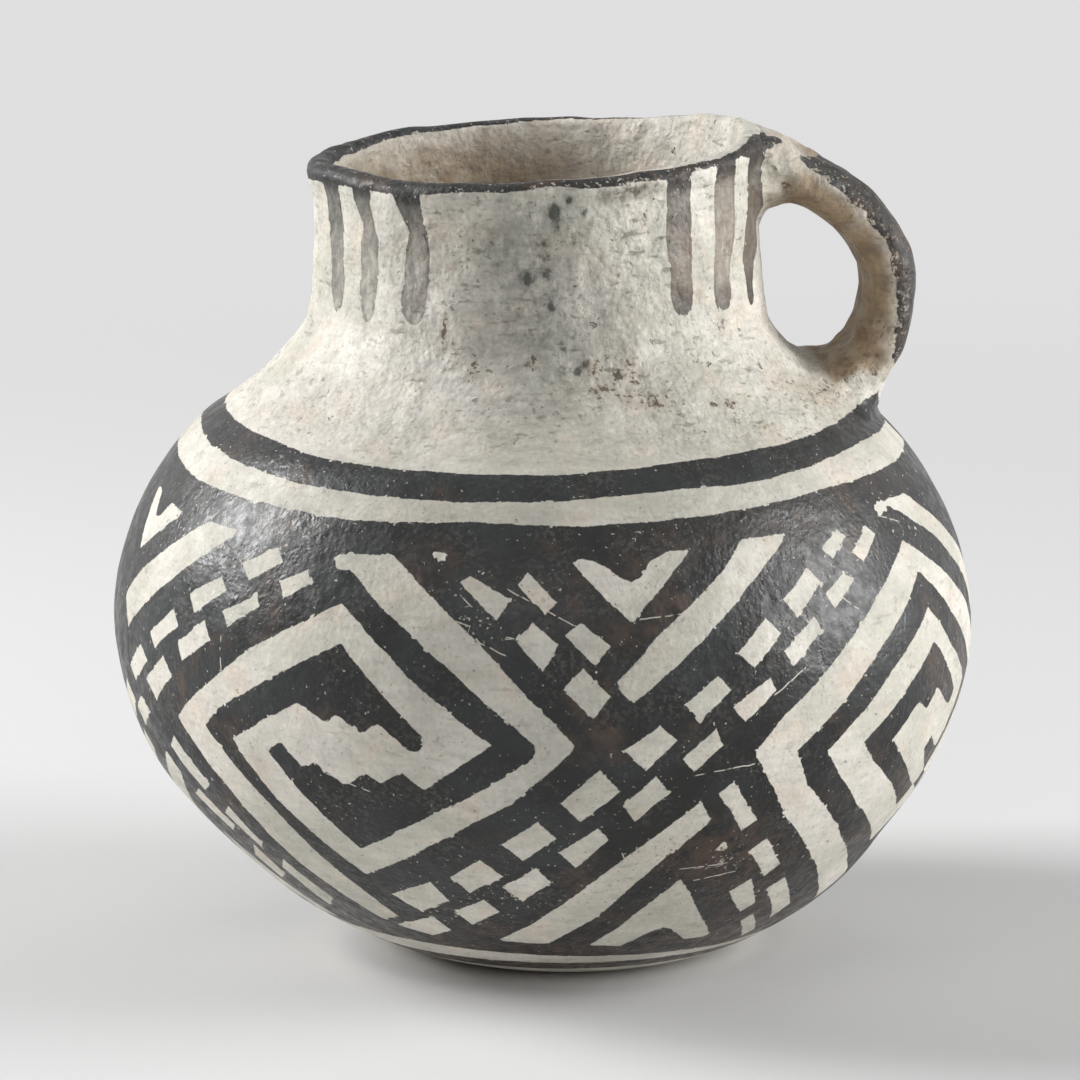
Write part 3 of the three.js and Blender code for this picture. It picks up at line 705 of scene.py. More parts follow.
def foot_rows():
    """Rows of the underside from its middle to the foot's edge: radius, height, place along, columns."""
    rows = []
    for t in np.linspace(0, 1, HOLLOW_RINGS + 1)[1:]:
        radius = HOLLOW_RADIUS * t
        rows.append((radius, HOLLOW_DEPTH * math.cos(t * math.pi / 2) ** 2, radius - FOOT_RADIUS))
    rows += [(radius, 0, radius - FOOT_RADIUS) for radius in FOOT_RING_RADII]
    return [(*row, HIDDEN_COLUMNS) for row in rows]


def body_rows():
    """Rows up the outside, over the lip and down to the floor, whose places run on over the lip."""
    rows = [(FOOT_RADIUS, 0, 0, HIDDEN_COLUMNS)]
    low = np.arange(FOOT_STEP, PAINTED_FROM, FOOT_STEP)
    painted = np.linspace(PAINTED_FROM, NECK_FROM, int((NECK_FROM - PAINTED_FROM) / PAINT_STEP))
    neck = np.linspace(NECK_FROM, WALL_LENGTH, int((WALL_LENGTH - NECK_FROM) / NECK_STEP))[1:]
    rows += [(*wall_place(along), along, COLUMNS) for along in np.concatenate([low, painted, neck])]
    outer_end, inner_end = wall_place(WALL_LENGTH), inner_place(WALL_LENGTH)
    middle, across = (outer_end + inner_end) / 2, (outer_end - inner_end) / 2
    up = WALL_SLOPES[-1] / np.linalg.norm(WALL_SLOPES[-1]) * LIP_ROUND
    over, last = 0, outer_end
    for turn in np.linspace(0, math.pi, LIP_RINGS + 1)[1:]:
        place = middle + across * math.cos(turn) + up * math.sin(turn)
        over += np.linalg.norm(place - last)
        last = place
        rows.append((*place, WALL_LENGTH + over, COLUMNS))
    upper = np.arange(WALL_LENGTH - INNER_NECK_STEP, NECK_START - 8, -INNER_NECK_STEP)
    belly_from = NECK_START - 12
    lower = np.linspace(belly_from, FLOOR_EDGE, int((belly_from - FLOOR_EDGE) / INNER_BELLY_STEP))
    for along in np.concatenate([upper, lower]):
        columns = COLUMNS if along > WALL_LENGTH - 4 * INNER_NECK_STEP else HIDDEN_COLUMNS
        rows.append((*inner_place(along), WALL_LENGTH + over + WALL_LENGTH - along, columns))
    deepest = rows[-1][2]
    rows += [(radius, FLOOR, deepest + FLOOR_RADIUS - radius + 4, HIDDEN_COLUMNS) for radius in FLOOR_RADII]
    return rows


# Looks that change along the wall, from one place to another in millimetres up the outer face
ROUGH_NECK = (132, 140)
MATT_NECK = (140, 150)
WORN_LIP = (186, 188.5)
WORN_LIP_ENDS = (194, 197)
BARE_FOOT = (-1, 9)
LIP_WEAR = 0.17

# Looks that change round the wall: the direction of the cleaner slip on the neck's left, which is partly
# painted light that keeps the lit side pale, and of the lip's kept paint, and how far each spreads, in
# degrees
CLEAN_LIT_SLIP_AT = -58
CLEAN_LIT_SLIP_SPREAD = 26
KEPT_LIP_AT = 74
KEPT_LIP_SPREAD = 15

# The lumps fade out towards the flat foot, from one height and radius to another
LUMPS_BY_HEIGHT = (1.5, 12)
LUMPS_BY_RADIUS = (20, 34)
LEAST_RADIUS = 5


def surface_fields(around, along, scale):
    """What the finish reads at each place of the wall, by its name."""
    paint, thin = wall_paint(around, along, scale)
    one_way, other_way = checker_sides(around, along, scale)
    across, within = scratch_lines(around, along, scale)
    # Fewer specks and less mottling on the neck's left: partly cleaner slip and partly painted light on the
    # lit side
    clean_and_lit = 0.35 * bell((around - CLEAN_LIT_SLIP_AT) / CLEAN_LIT_SLIP_SPREAD)
    lip_wear = LIP_WEAR * (1 - bell((around - KEPT_LIP_AT) / KEPT_LIP_SPREAD)) * smooth(along, *WORN_LIP)
    lip_wear = lip_wear * (1 - smooth(along, *WORN_LIP_ENDS))
    return {
        "paint": paint,
        "scratch_across": across,
        "scratch_within": within,
        "checker_length": one_way,
        "checker_width": other_way,
        "thin": thin,
        "soot_and_shade": marks(SOOT_AND_SHADE, around, along, scale),
        "rust": marks(RUST, around, along, scale),
        "brown": marks(BROWN, around, along, scale),
        "wear_and_sheen": marks(WEAR_AND_SHEEN, around, along, scale) + lip_wear,
        "soil_and_shade": marks(SOIL, around, along, scale) * smooth(along, INNER_FROM - 3, INNER_FROM + 4),
        "rough": 0.4 + (0.6 - clean_and_lit) * smooth(along, *ROUGH_NECK) + 0.5 * smooth(-along, -12, 2),
        "matt": smooth(along, *MATT_NECK),
        "bare": 1 - smooth(along, *BARE_FOOT),
    }


def turned_skin(name, rows, pole_height, pole_first):
    """A skin of rings about the body's middle line, closed by a point at its first or its last ring."""
    counts = [row[3] for row in rows]
    radius, height, along = (np.repeat([row[i] for row in rows], counts).astype(float) for i in range(3))
    angle = np.concatenate([round_turns(count) for count in counts])
    points = hand_formed(radius, angle, height)
    neck_share = smooth(height, NECK_LUMPS_FROM, NECK_LUMPS_FULL)
    free = smooth(height, *LUMPS_BY_HEIGHT) * smooth(radius, *LUMPS_BY_RADIUS)
    outward = np.stack([np.cos(angle), np.sin(angle), np.zeros_like(angle)], axis=-1)
    points = points + outward * (lumps(points, neck_share) * free)[:, None]
    points[:, 2] += lip_waves(angle, height)
    around = (np.degrees(angle) + 90) % 360
    around = np.where(around > 180, around - 360, around)
    fields = surface_fields(around, along, np.maximum(radius, LEAST_RADIUS) * math.pi / 180)
    firsts = np.concatenate([[0], np.cumsum(counts)])
    faces = []
    for i in range(len(rows) - 1):
        faces += joined_rings(int(firsts[i]), counts[i], int(firsts[i + 1]), counts[i + 1])
    pole = len(points)
    ring = 0 if pole_first else int(firsts[-2])
    count = counts[0] if pole_first else counts[-1]
    cap = [[pole, ring + (i + 1) % count, ring + i] for i in range(count)]
    faces += cap if pole_first else [face[::-1] for face in cap]
    fields = {field: np.append(values, values[ring]) for field, values in fields.items()}
    return make_piece(name, np.vstack([points, formed_point(0, pole_height)]), faces, fields)


def strap_path():
    """Middle line of the strap from inside the lip to inside the shoulder, as closely spaced points."""
    lip, neck = formed_point(LIP_RADIUS, LIP_HEIGHT), formed_point(WAIST_RADIUS, WAIST_HEIGHT)
    root = np.array([lip[0], lip[2] - HANDLE_BELOW_LIP - HANDLE_THICKNESS / 2])
    root_direction = np.array([HANDLE_TOP_RUN, -HANDLE_TOP_DROOP])
    side = np.array([neck[0] + FINGER_GAP + HANDLE_THICKNESS / 2, root[1] - HANDLE_SIDE_DROP])
    shoulder = WALL_POINTS[WALL_POINTS[:, 1] > BELLY_HEIGHT][::-1]
    foot = np.array([LOWER_ROOT_RADIUS, np.interp(LOWER_ROOT_RADIUS, shoulder[:, 0], shoulder[:, 1])])
    turn = math.radians(LOWER_ROOT_ANGLE)
    foot_direction = np.array([-math.cos(turn), -math.sin(turn)])
    in_lip = root - root_direction / np.linalg.norm(root_direction) * ROOT_DEPTH
    in_shoulder = foot + foot_direction * ROOT_DEPTH
    down = np.array([0, 1])
    to_side = [root, root + root_direction, side + down * HANDLE_SIDE_RUN_UP, side]
    to_foot = [side, side - down * HANDLE_SIDE_RUN_DOWN, foot - foot_direction * LOWER_ROOT_RUN, foot]
    return np.vstack([
        np.linspace(in_lip, root, STRAP_END_STEPS)[:-1],
        bezier(to_side, STRAP_CURVE_STEPS),
        bezier(to_foot, STRAP_CURVE_STEPS, 1),
        np.linspace(foot, in_shoulder, STRAP_END_STEPS)[1:],
    ])


STRAP_POINTS = strap_path()
STRAP_ALONG, STRAP_SLOPES = paced(STRAP_POINTS)
STRAP_LENGTH = STRAP_ALONG[-1]


def strap_place(along, turn):
    """A point on the strap's surface: along its middle line, and round its section from the outer face."""
    columns = (*STRAP_POINTS.T, *STRAP_SLOPES.T)
    x, z, dx, dz = (np.interp(along, STRAP_ALONG, column) for column in columns)
    size = np.hypot(dx, dz)
    power = 2 / HANDLE_SQUARENESS
    cosine, sine = np.cos(turn), np.sin(turn)
    through = HANDLE_THICKNESS / 2 * np.sign(cosine) * np.abs(cosine) ** power
    across = HANDLE_WIDTH / 2 * np.sign(sine) * np.abs(sine) ** power
    return np.stack([x - dz / size * through, across, z + dx / size * through], axis=-1)


# Luting clay smeared from each root: how far it reaches along the strap, out over the wall and over the lip
UPPER_SMEAR = 7
LOWER_SMEAR = 9
UPPER_SPREAD = 8
LOWER_SPREAD = 8.5
LIP_SPREAD = 5.8
SMEAR_STEPS = 18

# How far its bend stands off the wall and off the lip, and how far its edge dips and then sinks in
SMEAR_LIFT = 0.5
LIP_LIFT = 3.2
LIP_RISE_ON_TOP = 3
SMEAR_DIP = 0.45
SMEAR_SUNK = 1.5

# Unevenness of its reach round each root, and the part of the root that counts as its top
WOBBLES = 1.7
UPPER_WOBBLE = 0.35
LOWER_WOBBLE = 0.4
ON_TOP = (0.2, 0.8)

# Steps of the search for the place where a line of the strap goes into the wall, and halvings after them
ENTRY_STEPS = 60
ENTRY_HALVINGS = 12

# Lumps at the roots and along the strap: their size and how far they stand out. Counted in rows from the
# skin's end, the strap's take over from the roots', and both begin where the clay leaves the wall.
ROOT_LUMPS = [(7, 1.4), (3.2, 0.8)]
STRAP_LUMPS = [(11, 0.6), (4.5, 0.4)]
ROOT_ROWS = (SMEAR_STEPS * 0.6, SMEAR_STEPS * 1.8)
SUNK_ROWS = (2, 8)

# Single knobs and pits of the luting clay: the place, the size and how far they stand out
KNOBS = [
    ((43, -11.5, 147.6), 2.6, 0.9), ((43.8, -11.2, 143.9), 1.2, -0.9), ((42.6, 11.4, 146.4), 3, 0.8),
    ((54.8, -11.8, 108.8), 1.8, -0.5), ((56, -13, 106.2), 1.1, -0.6), ((53, 13.6, 106.8), 2, 0.6),
]


def wall_tree(body):
    points = [vertex.co / MM for vertex in body.data.vertices]
    faces = [tuple(face.vertices) for face in body.data.polygons]
    return BVHTree.FromPolygons(points, faces)


def stands_in(tree, point):
    """True if a point lies under the body's surface."""
    place, normal, _, _ = tree.find_nearest(Vector(point))
    return (Vector(point) - place).dot(normal) < 0


def in_wall(tree, point):
    """A place in the middle of the wall's thickness, next to a point."""
    place, normal, _, _ = tree.find_nearest(Vector(point))
    return np.array(place - normal * LIP_WALL / 2)


def wall_entry(tree, turn, from_along, to_along):
    """Distance along the strap at which one of its lines goes into the wall."""
    outside, inside = from_along, to_along
    for along in np.linspace(from_along, to_along, ENTRY_STEPS)[1:]:
        if stands_in(tree, strap_place(along, turn)):
            inside = along
            break
        outside = along
    for _ in range(ENTRY_HALVINGS):
        middle = (outside + inside) / 2
        if stands_in(tree, strap_place(middle, turn)):
            inside = middle
        else:
            outside = middle
    return outside


def smear(tree, turn, entry, centre, reach, spread, lift, rise=0):
    """Points of one line of the smeared clay, from the strap out onto the wall and just under it."""
    top = strap_place(entry + reach, turn)
    corner = strap_place(entry, turn)
    _, normal, _, _ = tree.find_nearest(Vector(corner))
    away = Vector(corner - centre)
    away -= normal * away.dot(normal)
    away.normalize()
    foot, foot_normal, _, _ = tree.find_nearest(Vector(corner) + away * spread)
    bend = np.array(Vector(corner) + normal * lift) + np.array([0, 0, rise])
    end = np.array(foot - foot_normal * SMEAR_DIP)
    line = []
    for t in np.linspace(0, 1, SMEAR_STEPS + 1)[1:]:
        line.append((1 - t) ** 2 * top + 2 * (1 - t) * t * bend + t**2 * end)
    sunk = end - np.array(foot_normal) * SMEAR_SUNK
    return line + [sunk]


# Where the dark paint of the strap's outer face ends on its side: distance along the strap from the lip,
# and millimetres out from the middle of the side. It starts and stops short of both roots.
STRAP_PAINT_EDGE = [
    (0, 4.6), (5, 4), (7, 3), (9, 2.6), (12, 1.9), (15, 1.4), (20, 0.9), (26, 0.3), (32, 0.1), (38, 0.4),
    (43, 1.2), (47, 3),
]
STRAP_PAINT_FROM = 4.8
STRAP_PAINT_LATER_ON_TOP = 3.6
STRAP_TOP_HALF = (4, 9)
STRAP_PAINT_TO = 47

# Millimetres off the wall over which the strap's looks take over, and how much later they do at the lower
# root, below a place on the neck
STRAP_LOOKS = (0.8, 2.2)
LOWER_ROOT_LATER = 5
LOWER_ROOT_BELOW = (138, 142)

# The dark patch at the end of the lip's line, which runs on over the strap's root: two ends and half widths
LIP_PATCH = ((36.5, -16.4, 152.2), (41.6, -9.9, 152.5), 2.3, 1.5)

# Brown stains of the strap: distance along, how far through from the middle of the side, size and strength
STRAP_STAINS = [
    (3.7, -1.2, 1.3, 2.2), (4.5, -2.6, 0.9, 1.6), (14, -4.5, 8, 0.4), (50, 0, 5, 0.5), (44, -4, 7, 0.4),
    (53.6, -3.3, 3.2, 1), (47.3, -1.8, 2.6, 0.8), (55.6, -1, 1.2, 2), (45.3, -3.9, 1.4, 1.4),
    (42.8, -1.4, 1.6, 0.8), (38.5, -4.8, 1.3, 1.4), (55, 1, 4, 0.5), (8, -1, 4, 0.35),
]


def strap_skin(body):
    """The strap and the clay smeared from its roots, as one closed skin that ends in the wall."""
    tree = wall_tree(body)
    turns = round_turns(STRAP_SIDES)
    middle = STRAP_LENGTH / 2
    upper, lower = (
        np.array([wall_entry(tree, turn, middle, end) for turn in turns]) for end in (0, STRAP_LENGTH)
    )
    faces_middle = np.array([0.0, math.pi])
    centres = [strap_place(np.mean(entry), faces_middle).mean(axis=0) for entry in (upper, lower)]
    on_top = smooth(np.cos(turns), *ON_TOP)
    spread = UPPER_SPREAD + (LIP_SPREAD - UPPER_SPREAD) * on_top
    lift = SMEAR_LIFT + (LIP_LIFT - SMEAR_LIFT) * on_top
    rise = LIP_RISE_ON_TOP * on_top
    steps = int((STRAP_LENGTH - 2 * ROOT_DEPTH - UPPER_SMEAR - LOWER_SMEAR) / STRAP_STEP)
    columns = []
    for i, turn in enumerate(turns):
        wobble = noise.noise(Vector((math.cos(turn), math.sin(turn), 0.4)) * WOBBLES)
        reach = spread[i] * (1 + UPPER_WOBBLE * wobble)
        top = smear(tree, turn, upper[i], centres[0], UPPER_SMEAR, reach, lift[i], rise[i])
        reach = LOWER_SPREAD * (1 + LOWER_WOBBLE * wobble)
        base = smear(tree, turn, lower[i], centres[1], -LOWER_SMEAR, reach, SMEAR_LIFT)
        strap = np.linspace(upper[i] + UPPER_SMEAR, lower[i] - LOWER_SMEAR, steps)
        columns.append(top[::-1] + [strap_place(along, turn) for along in strap] + base)
    grid = np.array(columns).transpose(1, 0, 2)
    rows = len(grid)
    points = lumpy_strap(grid.reshape(-1, 3), np.repeat(np.arange(rows), STRAP_SIDES), rows)
    faces = []
    for row in range(rows - 1):
        faces += joined_rings((row + 1) * STRAP_SIDES, STRAP_SIDES, row * STRAP_SIDES, STRAP_SIDES)
    last = (rows - 1) * STRAP_SIDES
    for i in range(STRAP_SIDES):
        j = (i + 1) % STRAP_SIDES
        faces.append([len(points), i, j])
        faces.append([len(points) + 1, last + j, last + i])
    points = np.vstack([points, [in_wall(tree, centre) for centre in centres]])
    return make_piece("pitcher_handle", points, faces, strap_fields(points))


def strap_nearest(points):
    """Index of the point of the strap's middle line that is nearest to each point."""
    return np.array([np.argmin(np.hypot(*(STRAP_POINTS - point[[0, 2]]).T)) for point in points])


def lumpy_strap(points, row, rows):
    """Moves the strap's surface out and in by its lumps, coarser at the roots, none where it sinks in."""
    end = np.minimum(row, rows - 1 - row)
    near_root = 1 - smooth(end, *ROOT_ROWS)
    middle = STRAP_POINTS[strap_nearest(points)]
    away = points - np.stack([middle[:, 0], np.zeros(len(points)), middle[:, 1]], axis=-1)
    away /= np.maximum(np.linalg.norm(away, axis=1, keepdims=True), 1)
    amount = np.zeros(len(points))
    for seed, (root_lump, strap_lump) in enumerate(zip(ROOT_LUMPS, STRAP_LUMPS)):
        amount += near_root * root_lump[1] * noise_at(points, root_lump[0], 11 + seed)
        amount += (1 - near_root) * strap_lump[1] * noise_at(points, strap_lump[0], 13 + seed)
    for place, size, out in KNOBS:
        amount += out * bell(np.linalg.norm(points - place, axis=1) / size)
    return points + away * (amount * smooth(end, *SUNK_ROWS))[:, None]


def strap_fields(points):
    """The wall's own paint and marks where the clay lies on the wall, and the strap's beyond it."""
    around, along, off_wall = on_wall(points)
    fields = surface_fields(around, along, np.full(len(points), LIP_RADIUS * math.pi / 180))
    nearest = strap_nearest(points)
    strap_along = STRAP_ALONG[nearest] - ROOT_DEPTH
    offset = points[:, [0, 2]] - STRAP_POINTS[nearest]
    slope = STRAP_SLOPES[nearest]
    through = (-offset[:, 0] * slope[:, 1] + offset[:, 1] * slope[:, 0]) / np.hypot(*slope.T)
    edge = np.interp(strap_along, *np.array(STRAP_PAINT_EDGE).T)
    off_middle = smooth(np.abs(points[:, 1]), *STRAP_TOP_HALF)
    paint_from = STRAP_PAINT_FROM + STRAP_PAINT_LATER_ON_TOP * (1 - off_middle)
    ends = np.minimum(strap_along - paint_from, STRAP_PAINT_TO - strap_along)
    uneven = 1.6 * noise_at(points, 3.4, 31) + 1.2 * noise_at(points, 1.3, 32)
    strap_paint = np.minimum(through - edge + 0.5 * uneven, ends + uneven)
    patch = lip_patch(points) + 0.3 * uneven
    later = LOWER_ROOT_LATER * (1 - smooth(along, *LOWER_ROOT_BELOW))
    on_strap = smooth(off_wall - later, *STRAP_LOOKS)
    painted = np.where(on_strap > 0.5, strap_paint, fields["paint"])
    fields["paint"] = np.clip(np.maximum(painted, patch), -EDGE_FAR, EDGE_FAR)
    for name in ("checker_length", "checker_width", "scratch_within"):
        fields[name] = np.full(len(points), -EDGE_FAR)
    rubbed = bell((through - edge) / 1.5)
    stains = sum(
        strength * bell((strap_along - at) / size, (through - level) / (0.6 * size))
        for at, level, size, strength in STRAP_STAINS
    )
    beyond = {"thin": 0.04, "soot_and_shade": 0, "brown": 0, "wear_and_sheen": 0.35 + 0.65 * rubbed, "rust": stains}
    for name, value in beyond.items():
        fields[name] = fields[name] * (1 - on_strap) + value * on_strap
    # Clay colour on the strap: partly dirt and partly painted shade on its sides, and more of it on the
    # inner face, turned to the neck, which is painted shade; less of it along the rubbed edge of the paint.
    inner = smooth(-through, 1.5, 4.5)
    off_roots = smooth(strap_along, 2, 9) * (1 - 0.5 * smooth(strap_along, 47, 53))
    fields["soil_and_shade"] = on_strap * (0.3 + 0.75 * off_roots + 0.25 * inner) * (1 - 0.55 * rubbed)
    fields["rough"] = np.maximum(fields["rough"], on_strap)
    return fields


def lip_patch(points):
    """How far each point lies inside the dark patch at the end of the lip's line."""
    start, end, width_at_start, width_at_end = (np.array(value, float) for value in LIP_PATCH)
    run = end - start
    t = np.clip((points - start) @ run / (run @ run), 0, 1)
    half_width = width_at_start + (width_at_end - width_at_start) * t
    return half_width - np.linalg.norm(points - start - t[:, None] * run, axis=1)


def on_wall(points):
    """The place on the wall nearest to each point, and how far off the wall the point is."""
    height = points[:, 2]
    x = points[:, 0] - off_axis(height)
    around = np.degrees(np.arctan2(points[:, 1], x)) + 90
    radius = np.hypot(x, points[:, 1])
    lift = (LIP_TILT + LIP_PEAK) * up_neck(height) ** 2
    flat = np.stack([radius, height - lift], axis=-1)
    gaps = np.linalg.norm(flat[:, None, :] - WALL_POINTS[None, ::3, :], axis=-1)
    best = gaps.argmin(axis=1)
    return around, WALL_ALONG[::3][best], gaps.min(axis=1)


# Node trees of the looks
class Shade:
    """The node tree of a material or of the world, with short names for the nodes that the looks use."""

    def __init__(self, owner, output="OutputMaterial"):
        owner.use_nodes = True
        self.tree = owner.node_tree
        self.tree.nodes.clear()
        self.surface = self.node(output).inputs["Surface"]

    def node(self, kind, sockets=(), **settings):
        """A new node with its settings, and with what goes into its sockets, by their names or in order."""
        node = self.tree.nodes.new("ShaderNode" + kind)
        for name, value in settings.items():
            setattr(node, name, value)
        for socket, value in sockets.items() if isinstance(sockets, dict) else enumerate(sockets):
            self.put(node.inputs[socket], value)
        return node

    def put(self, socket, value):
        """Links another node's socket to this one, or gives it a number, a vector or a colour."""
        if isinstance(value, bpy.types.NodeSocket):
            self.tree.links.new(value, socket)
        elif isinstance(value, tuple) and len(value) == 3 and socket.type == "RGBA":
            socket.default_value = (*value, 1)
        else:
            socket.default_value = value

    @functools.cached_property
    def place(self):
        return self.node("TexCoord").outputs["Object"]

    def field(self, name):
        return self.node("Attribute", attribute_name=name).outputs["Fac"]

    def math(self, operation, a, b=0.0, *others, clamp=False):
        """One operation on two values, and then on its result and each further value."""
        result = self.node("Math", (a, b), operation=operation, use_clamp=clamp).outputs[0]
        return self.math(operation, result, *others) if others else result

    def add(self, *values):
        return self.math("ADD", *values)

    def times(self, *values):
        return self.math("MULTIPLY", *values)

    def most(self, *values):
        return self.math("MAXIMUM", *values)

    def least(self, *values, clamp=False):
        return self.math("MINIMUM", *values, clamp=clamp)

    def inverse(self, a):
        return self.math("SUBTRACT", 1.0, a, clamp=True)

    def step(self, value, low, high, bottom=0.0, top=1.0):
        """A smooth rise from bottom to top as value goes from low to high."""
        sockets = (value, low, high, bottom, top)
        return self.node("MapRange", sockets, interpolation_type="SMOOTHSTEP").outputs[0]

    def mix(self, share, a, b, blend="MIX"):
        return self.node("Mix", {0: share, 6: a, 7: b}, data_type="RGBA", blend_type=blend).outputs[2]

    def shaded(self, colour, tone):
        """A colour made lighter or darker by a number about 1."""
        return self.mix(1, colour, tone, "MULTIPLY")

    def vector_math(self, operation, a, b, result="Vector"):
        sockets = {0: a, "Scale" if operation == "SCALE" else 1: b}
        return self.node("VectorMath", sockets, operation=operation).outputs[result]

    def moved(self, seed, stretch=(1, 1, 1)):
        """The place on the object, stretched, and shifted by a seed so that no two textures are alike."""
        sockets = {"Location": (seed, seed * 0.7, -seed), "Scale": stretch, "Vector": self.place}
        return self.node("Mapping", sockets).outputs[0]

    def noise(self, place, size, detail, rough):
        sockets = {"Vector": place, "Scale": 1 / (size * MM), "Detail": detail, "Roughness": rough}
        return self.node("TexNoise", sockets)

    def grain(self, size, detail=3.0, rough=0.55, stretch=(1, 1, 1), seed=0.0):
        """Noise from 0 to 1 whose features are about size millimetres across."""
        return self.noise(self.moved(seed, stretch), size, detail, rough).outputs["Fac"]

    def around_zero(self, size, amount, *grain, seed=0.0):
        """Noise about zero, times an amount."""
        return self.times(self.add(self.grain(size, *grain, seed=seed), -0.5), amount)

    def patches(self, size, low, high, *grain, seed=0.0, bottom=0.0, top=1.0):
        """Patches about size millimetres across, which fade in as the noise goes from low to high."""
        return self.step(self.grain(size, *grain, seed=seed), low, high, bottom, top)

    def spots(self, spacing, radius, share, seed=0.0, ragged=0.5, core=0.7):
        """Uneven spots of a radius in millimetres, in a share of cells that lie spacing apart."""
        place = self.moved(seed)
        push = self.noise(place, radius * 1.6, 1.0, 0.5).outputs["Color"]
        centred = self.vector_math("SUBTRACT", push, (0.5, 0.5, 0.5))
        pushed = self.vector_math("SCALE", centred, 4 * ragged * radius * MM)
        sockets = {"Vector": self.vector_math("ADD", place, pushed), "Scale": 1 / (spacing * MM)}
        cells = self.node("TexVoronoi", sockets)
        drawn = self.node("SeparateColor", [cells.outputs["Color"]])
        size = self.times(self.add(self.times(drawn.outputs[1], 0.8), 0.3), radius / spacing)
        spot = self.step(self.math("DIVIDE", cells.outputs["Distance"], size), 1.1, core)
        return self.times(spot, self.math("LESS_THAN", drawn.outputs[0], share))

    def seen_rays(self):
        """1 for the rays that show the backdrop, 0 for those that light the object."""
        path = self.node("LightPath")
        return self.most(*(path.outputs[name] for name in SEEN_RAYS))

    def mix_surfaces(self, share, a, b):
        return self.node("MixShader", (share, a, b)).outputs[0]

    def solid(self, colour, roughness, height):
        """A solid's surface, whose small relief is a height in millimetres."""
        bump = self.node("Bump", {"Strength": 1, "Distance": MM, "Height": height}).outputs[0]
        sockets = {"Base Color": colour, "Roughness": roughness, "Normal": bump}
        return self.node("BsdfPrincipled", {**sockets, "Specular IOR Level": SPECULAR}).outputs[0]


# Colours, as Blender holds them
PALE_SLIP = (0.72, 0.683, 0.612)
GREY_SLIP = (0.55, 0.532, 0.458)
WARM_SLIP = (0.70, 0.585, 0.48)
WORN_SLIP = (0.40, 0.375, 0.31)
SMOKE_AND_SHADE = (0.16, 0.162, 0.14)
BLOT = (0.05, 0.056, 0.046)
SPECK = (0.095, 0.082, 0.06)
TAN_STAIN = (0.46, 0.345, 0.235)
STAIN = (0.1, 0.074, 0.05)
INK = (0.0085, 0.0082, 0.0078)
WORN_INK = (0.054, 0.052, 0.047)
BLUE_INK = (0.024, 0.028, 0.029)
RED_INK = (0.07, 0.043, 0.03)
WASH_INK = (0.185, 0.107, 0.058)
FLECK = (0.34, 0.32, 0.28)
CLAY = (0.36, 0.256, 0.15)
DARK_CLAY = (0.19, 0.124, 0.07)
SPECULAR = 0.45


def slip_colour(s, rough, pits):
    base = s.mix(s.patches(24, 0.34, 0.66, 2), PALE_SLIP, GREY_SLIP)
    base = s.mix(s.times(s.patches(9, 0.5, 0.7, 3, 0.6, seed=3), 0.5), base, WARM_SLIP)
    flaked = s.times(s.patches(3.6, 0.53, 0.62, 3, 0.62, seed=34), s.patches(16, 0.42, 0.6, 1, seed=36))
    base = s.mix(s.times(flaked, rough, 0.35), base, WORN_SLIP)
    fine = s.around_zero(0.8, 0.42, 1, 0.5, seed=5)
    broad = s.around_zero(3.4, 0.4, 2.5, 0.6, seed=6)
    streaks = s.around_zero(1.3, 0.42, 1.5, 0.5, (0.22, 0.22, 1), seed=8)
    mottling = s.times(s.add(fine, broad, streaks), s.add(s.times(rough, 0.6), 0.45))
    base = s.shaded(base, s.add(mottling, 1.0))
    broken = s.add(s.around_zero(1.8, 1.9, 2.6, 0.66, seed=7), 0.6)
    # Smoke grey on the slip, which on the broad faint marks is painted shade
    smoke_and_shade = s.times(s.field("soot_and_shade"), broken)
    base = s.mix(s.least(smoke_and_shade, 0.82, clamp=True), base, SMOKE_AND_SHADE)
    base = s.mix(s.times(s.step(smoke_and_shade, 0.6, 1.15), 0.85), base, BLOT)
    rust = s.field("rust")
    base = s.mix(s.least(s.times(rust, 0.25), 0.35), base, TAN_STAIN)
    crumbs = s.step(s.add(s.grain(0.9, 1.8, 0.6, seed=9), s.times(rust, 0.16)), 0.66, 0.8)
    base = s.mix(s.times(crumbs, 0.9), base, STAIN)
    return s.mix(slip_specks(s, rough, pits), base, SPECK)


def slip_specks(s, rough, pits):
    """Dark specks and smears of the slip, closer together where it is dirty, and the pits."""
    dirty = s.patches(11, 0.36, 0.58, 2, seed=11)
    fine = s.times(s.spots(1.5, 0.36, 0.36, seed=2, core=0.3), 0.7)
    middling = s.times(s.spots(3.1, 0.6, 0.36, seed=4, ragged=0.8, core=0.3), 0.9)
    coarse = s.times(s.patches(1.6, 0.6, 0.74, 2.4, 0.6, seed=12), 0.6)
    smears = s.times(s.patches(1.1, 0.58, 0.72, 2, 0.55, (0.3, 0.3, 1), seed=14), 0.6)
    all_specks = s.most(s.most(fine, middling), s.most(coarse, smears))
    spread = s.add(s.times(dirty, 0.7), 0.3)
    return s.most(s.times(all_specks, spread, rough), s.times(pits, 0.6))


def ink_colour(s):
    worn = s.times(s.patches(0.9, 0.46, 0.64, 2, 0.65, seed=13), s.patches(9, 0.36, 0.66, 2, seed=51))
    ink = s.mix(worn, INK, WORN_INK)
    ink = s.mix(s.times(s.patches(17, 0.46, 0.66, 2, seed=15), 0.6), ink, BLUE_INK)
    somewhere = s.times(s.patches(15, 0.53, 0.68, 2, seed=17), 0.85)
    brown = s.times(s.most(s.field("brown"), somewhere), s.patches(3.2, 0.36, 0.6, 3, 0.62, seed=19))
    ink = s.mix(s.least(s.times(brown, 0.9), 0.9), ink, RED_INK)
    wash = s.least(s.times(s.field("thin"), s.field("brown"), 1.7), 0.9)
    ink = s.mix(wash, ink, WASH_INK)
    dust = s.times(s.spots(2.6, 0.26, 0.07, seed=20), 0.3)
    return s.mix(dust, ink, FLECK)


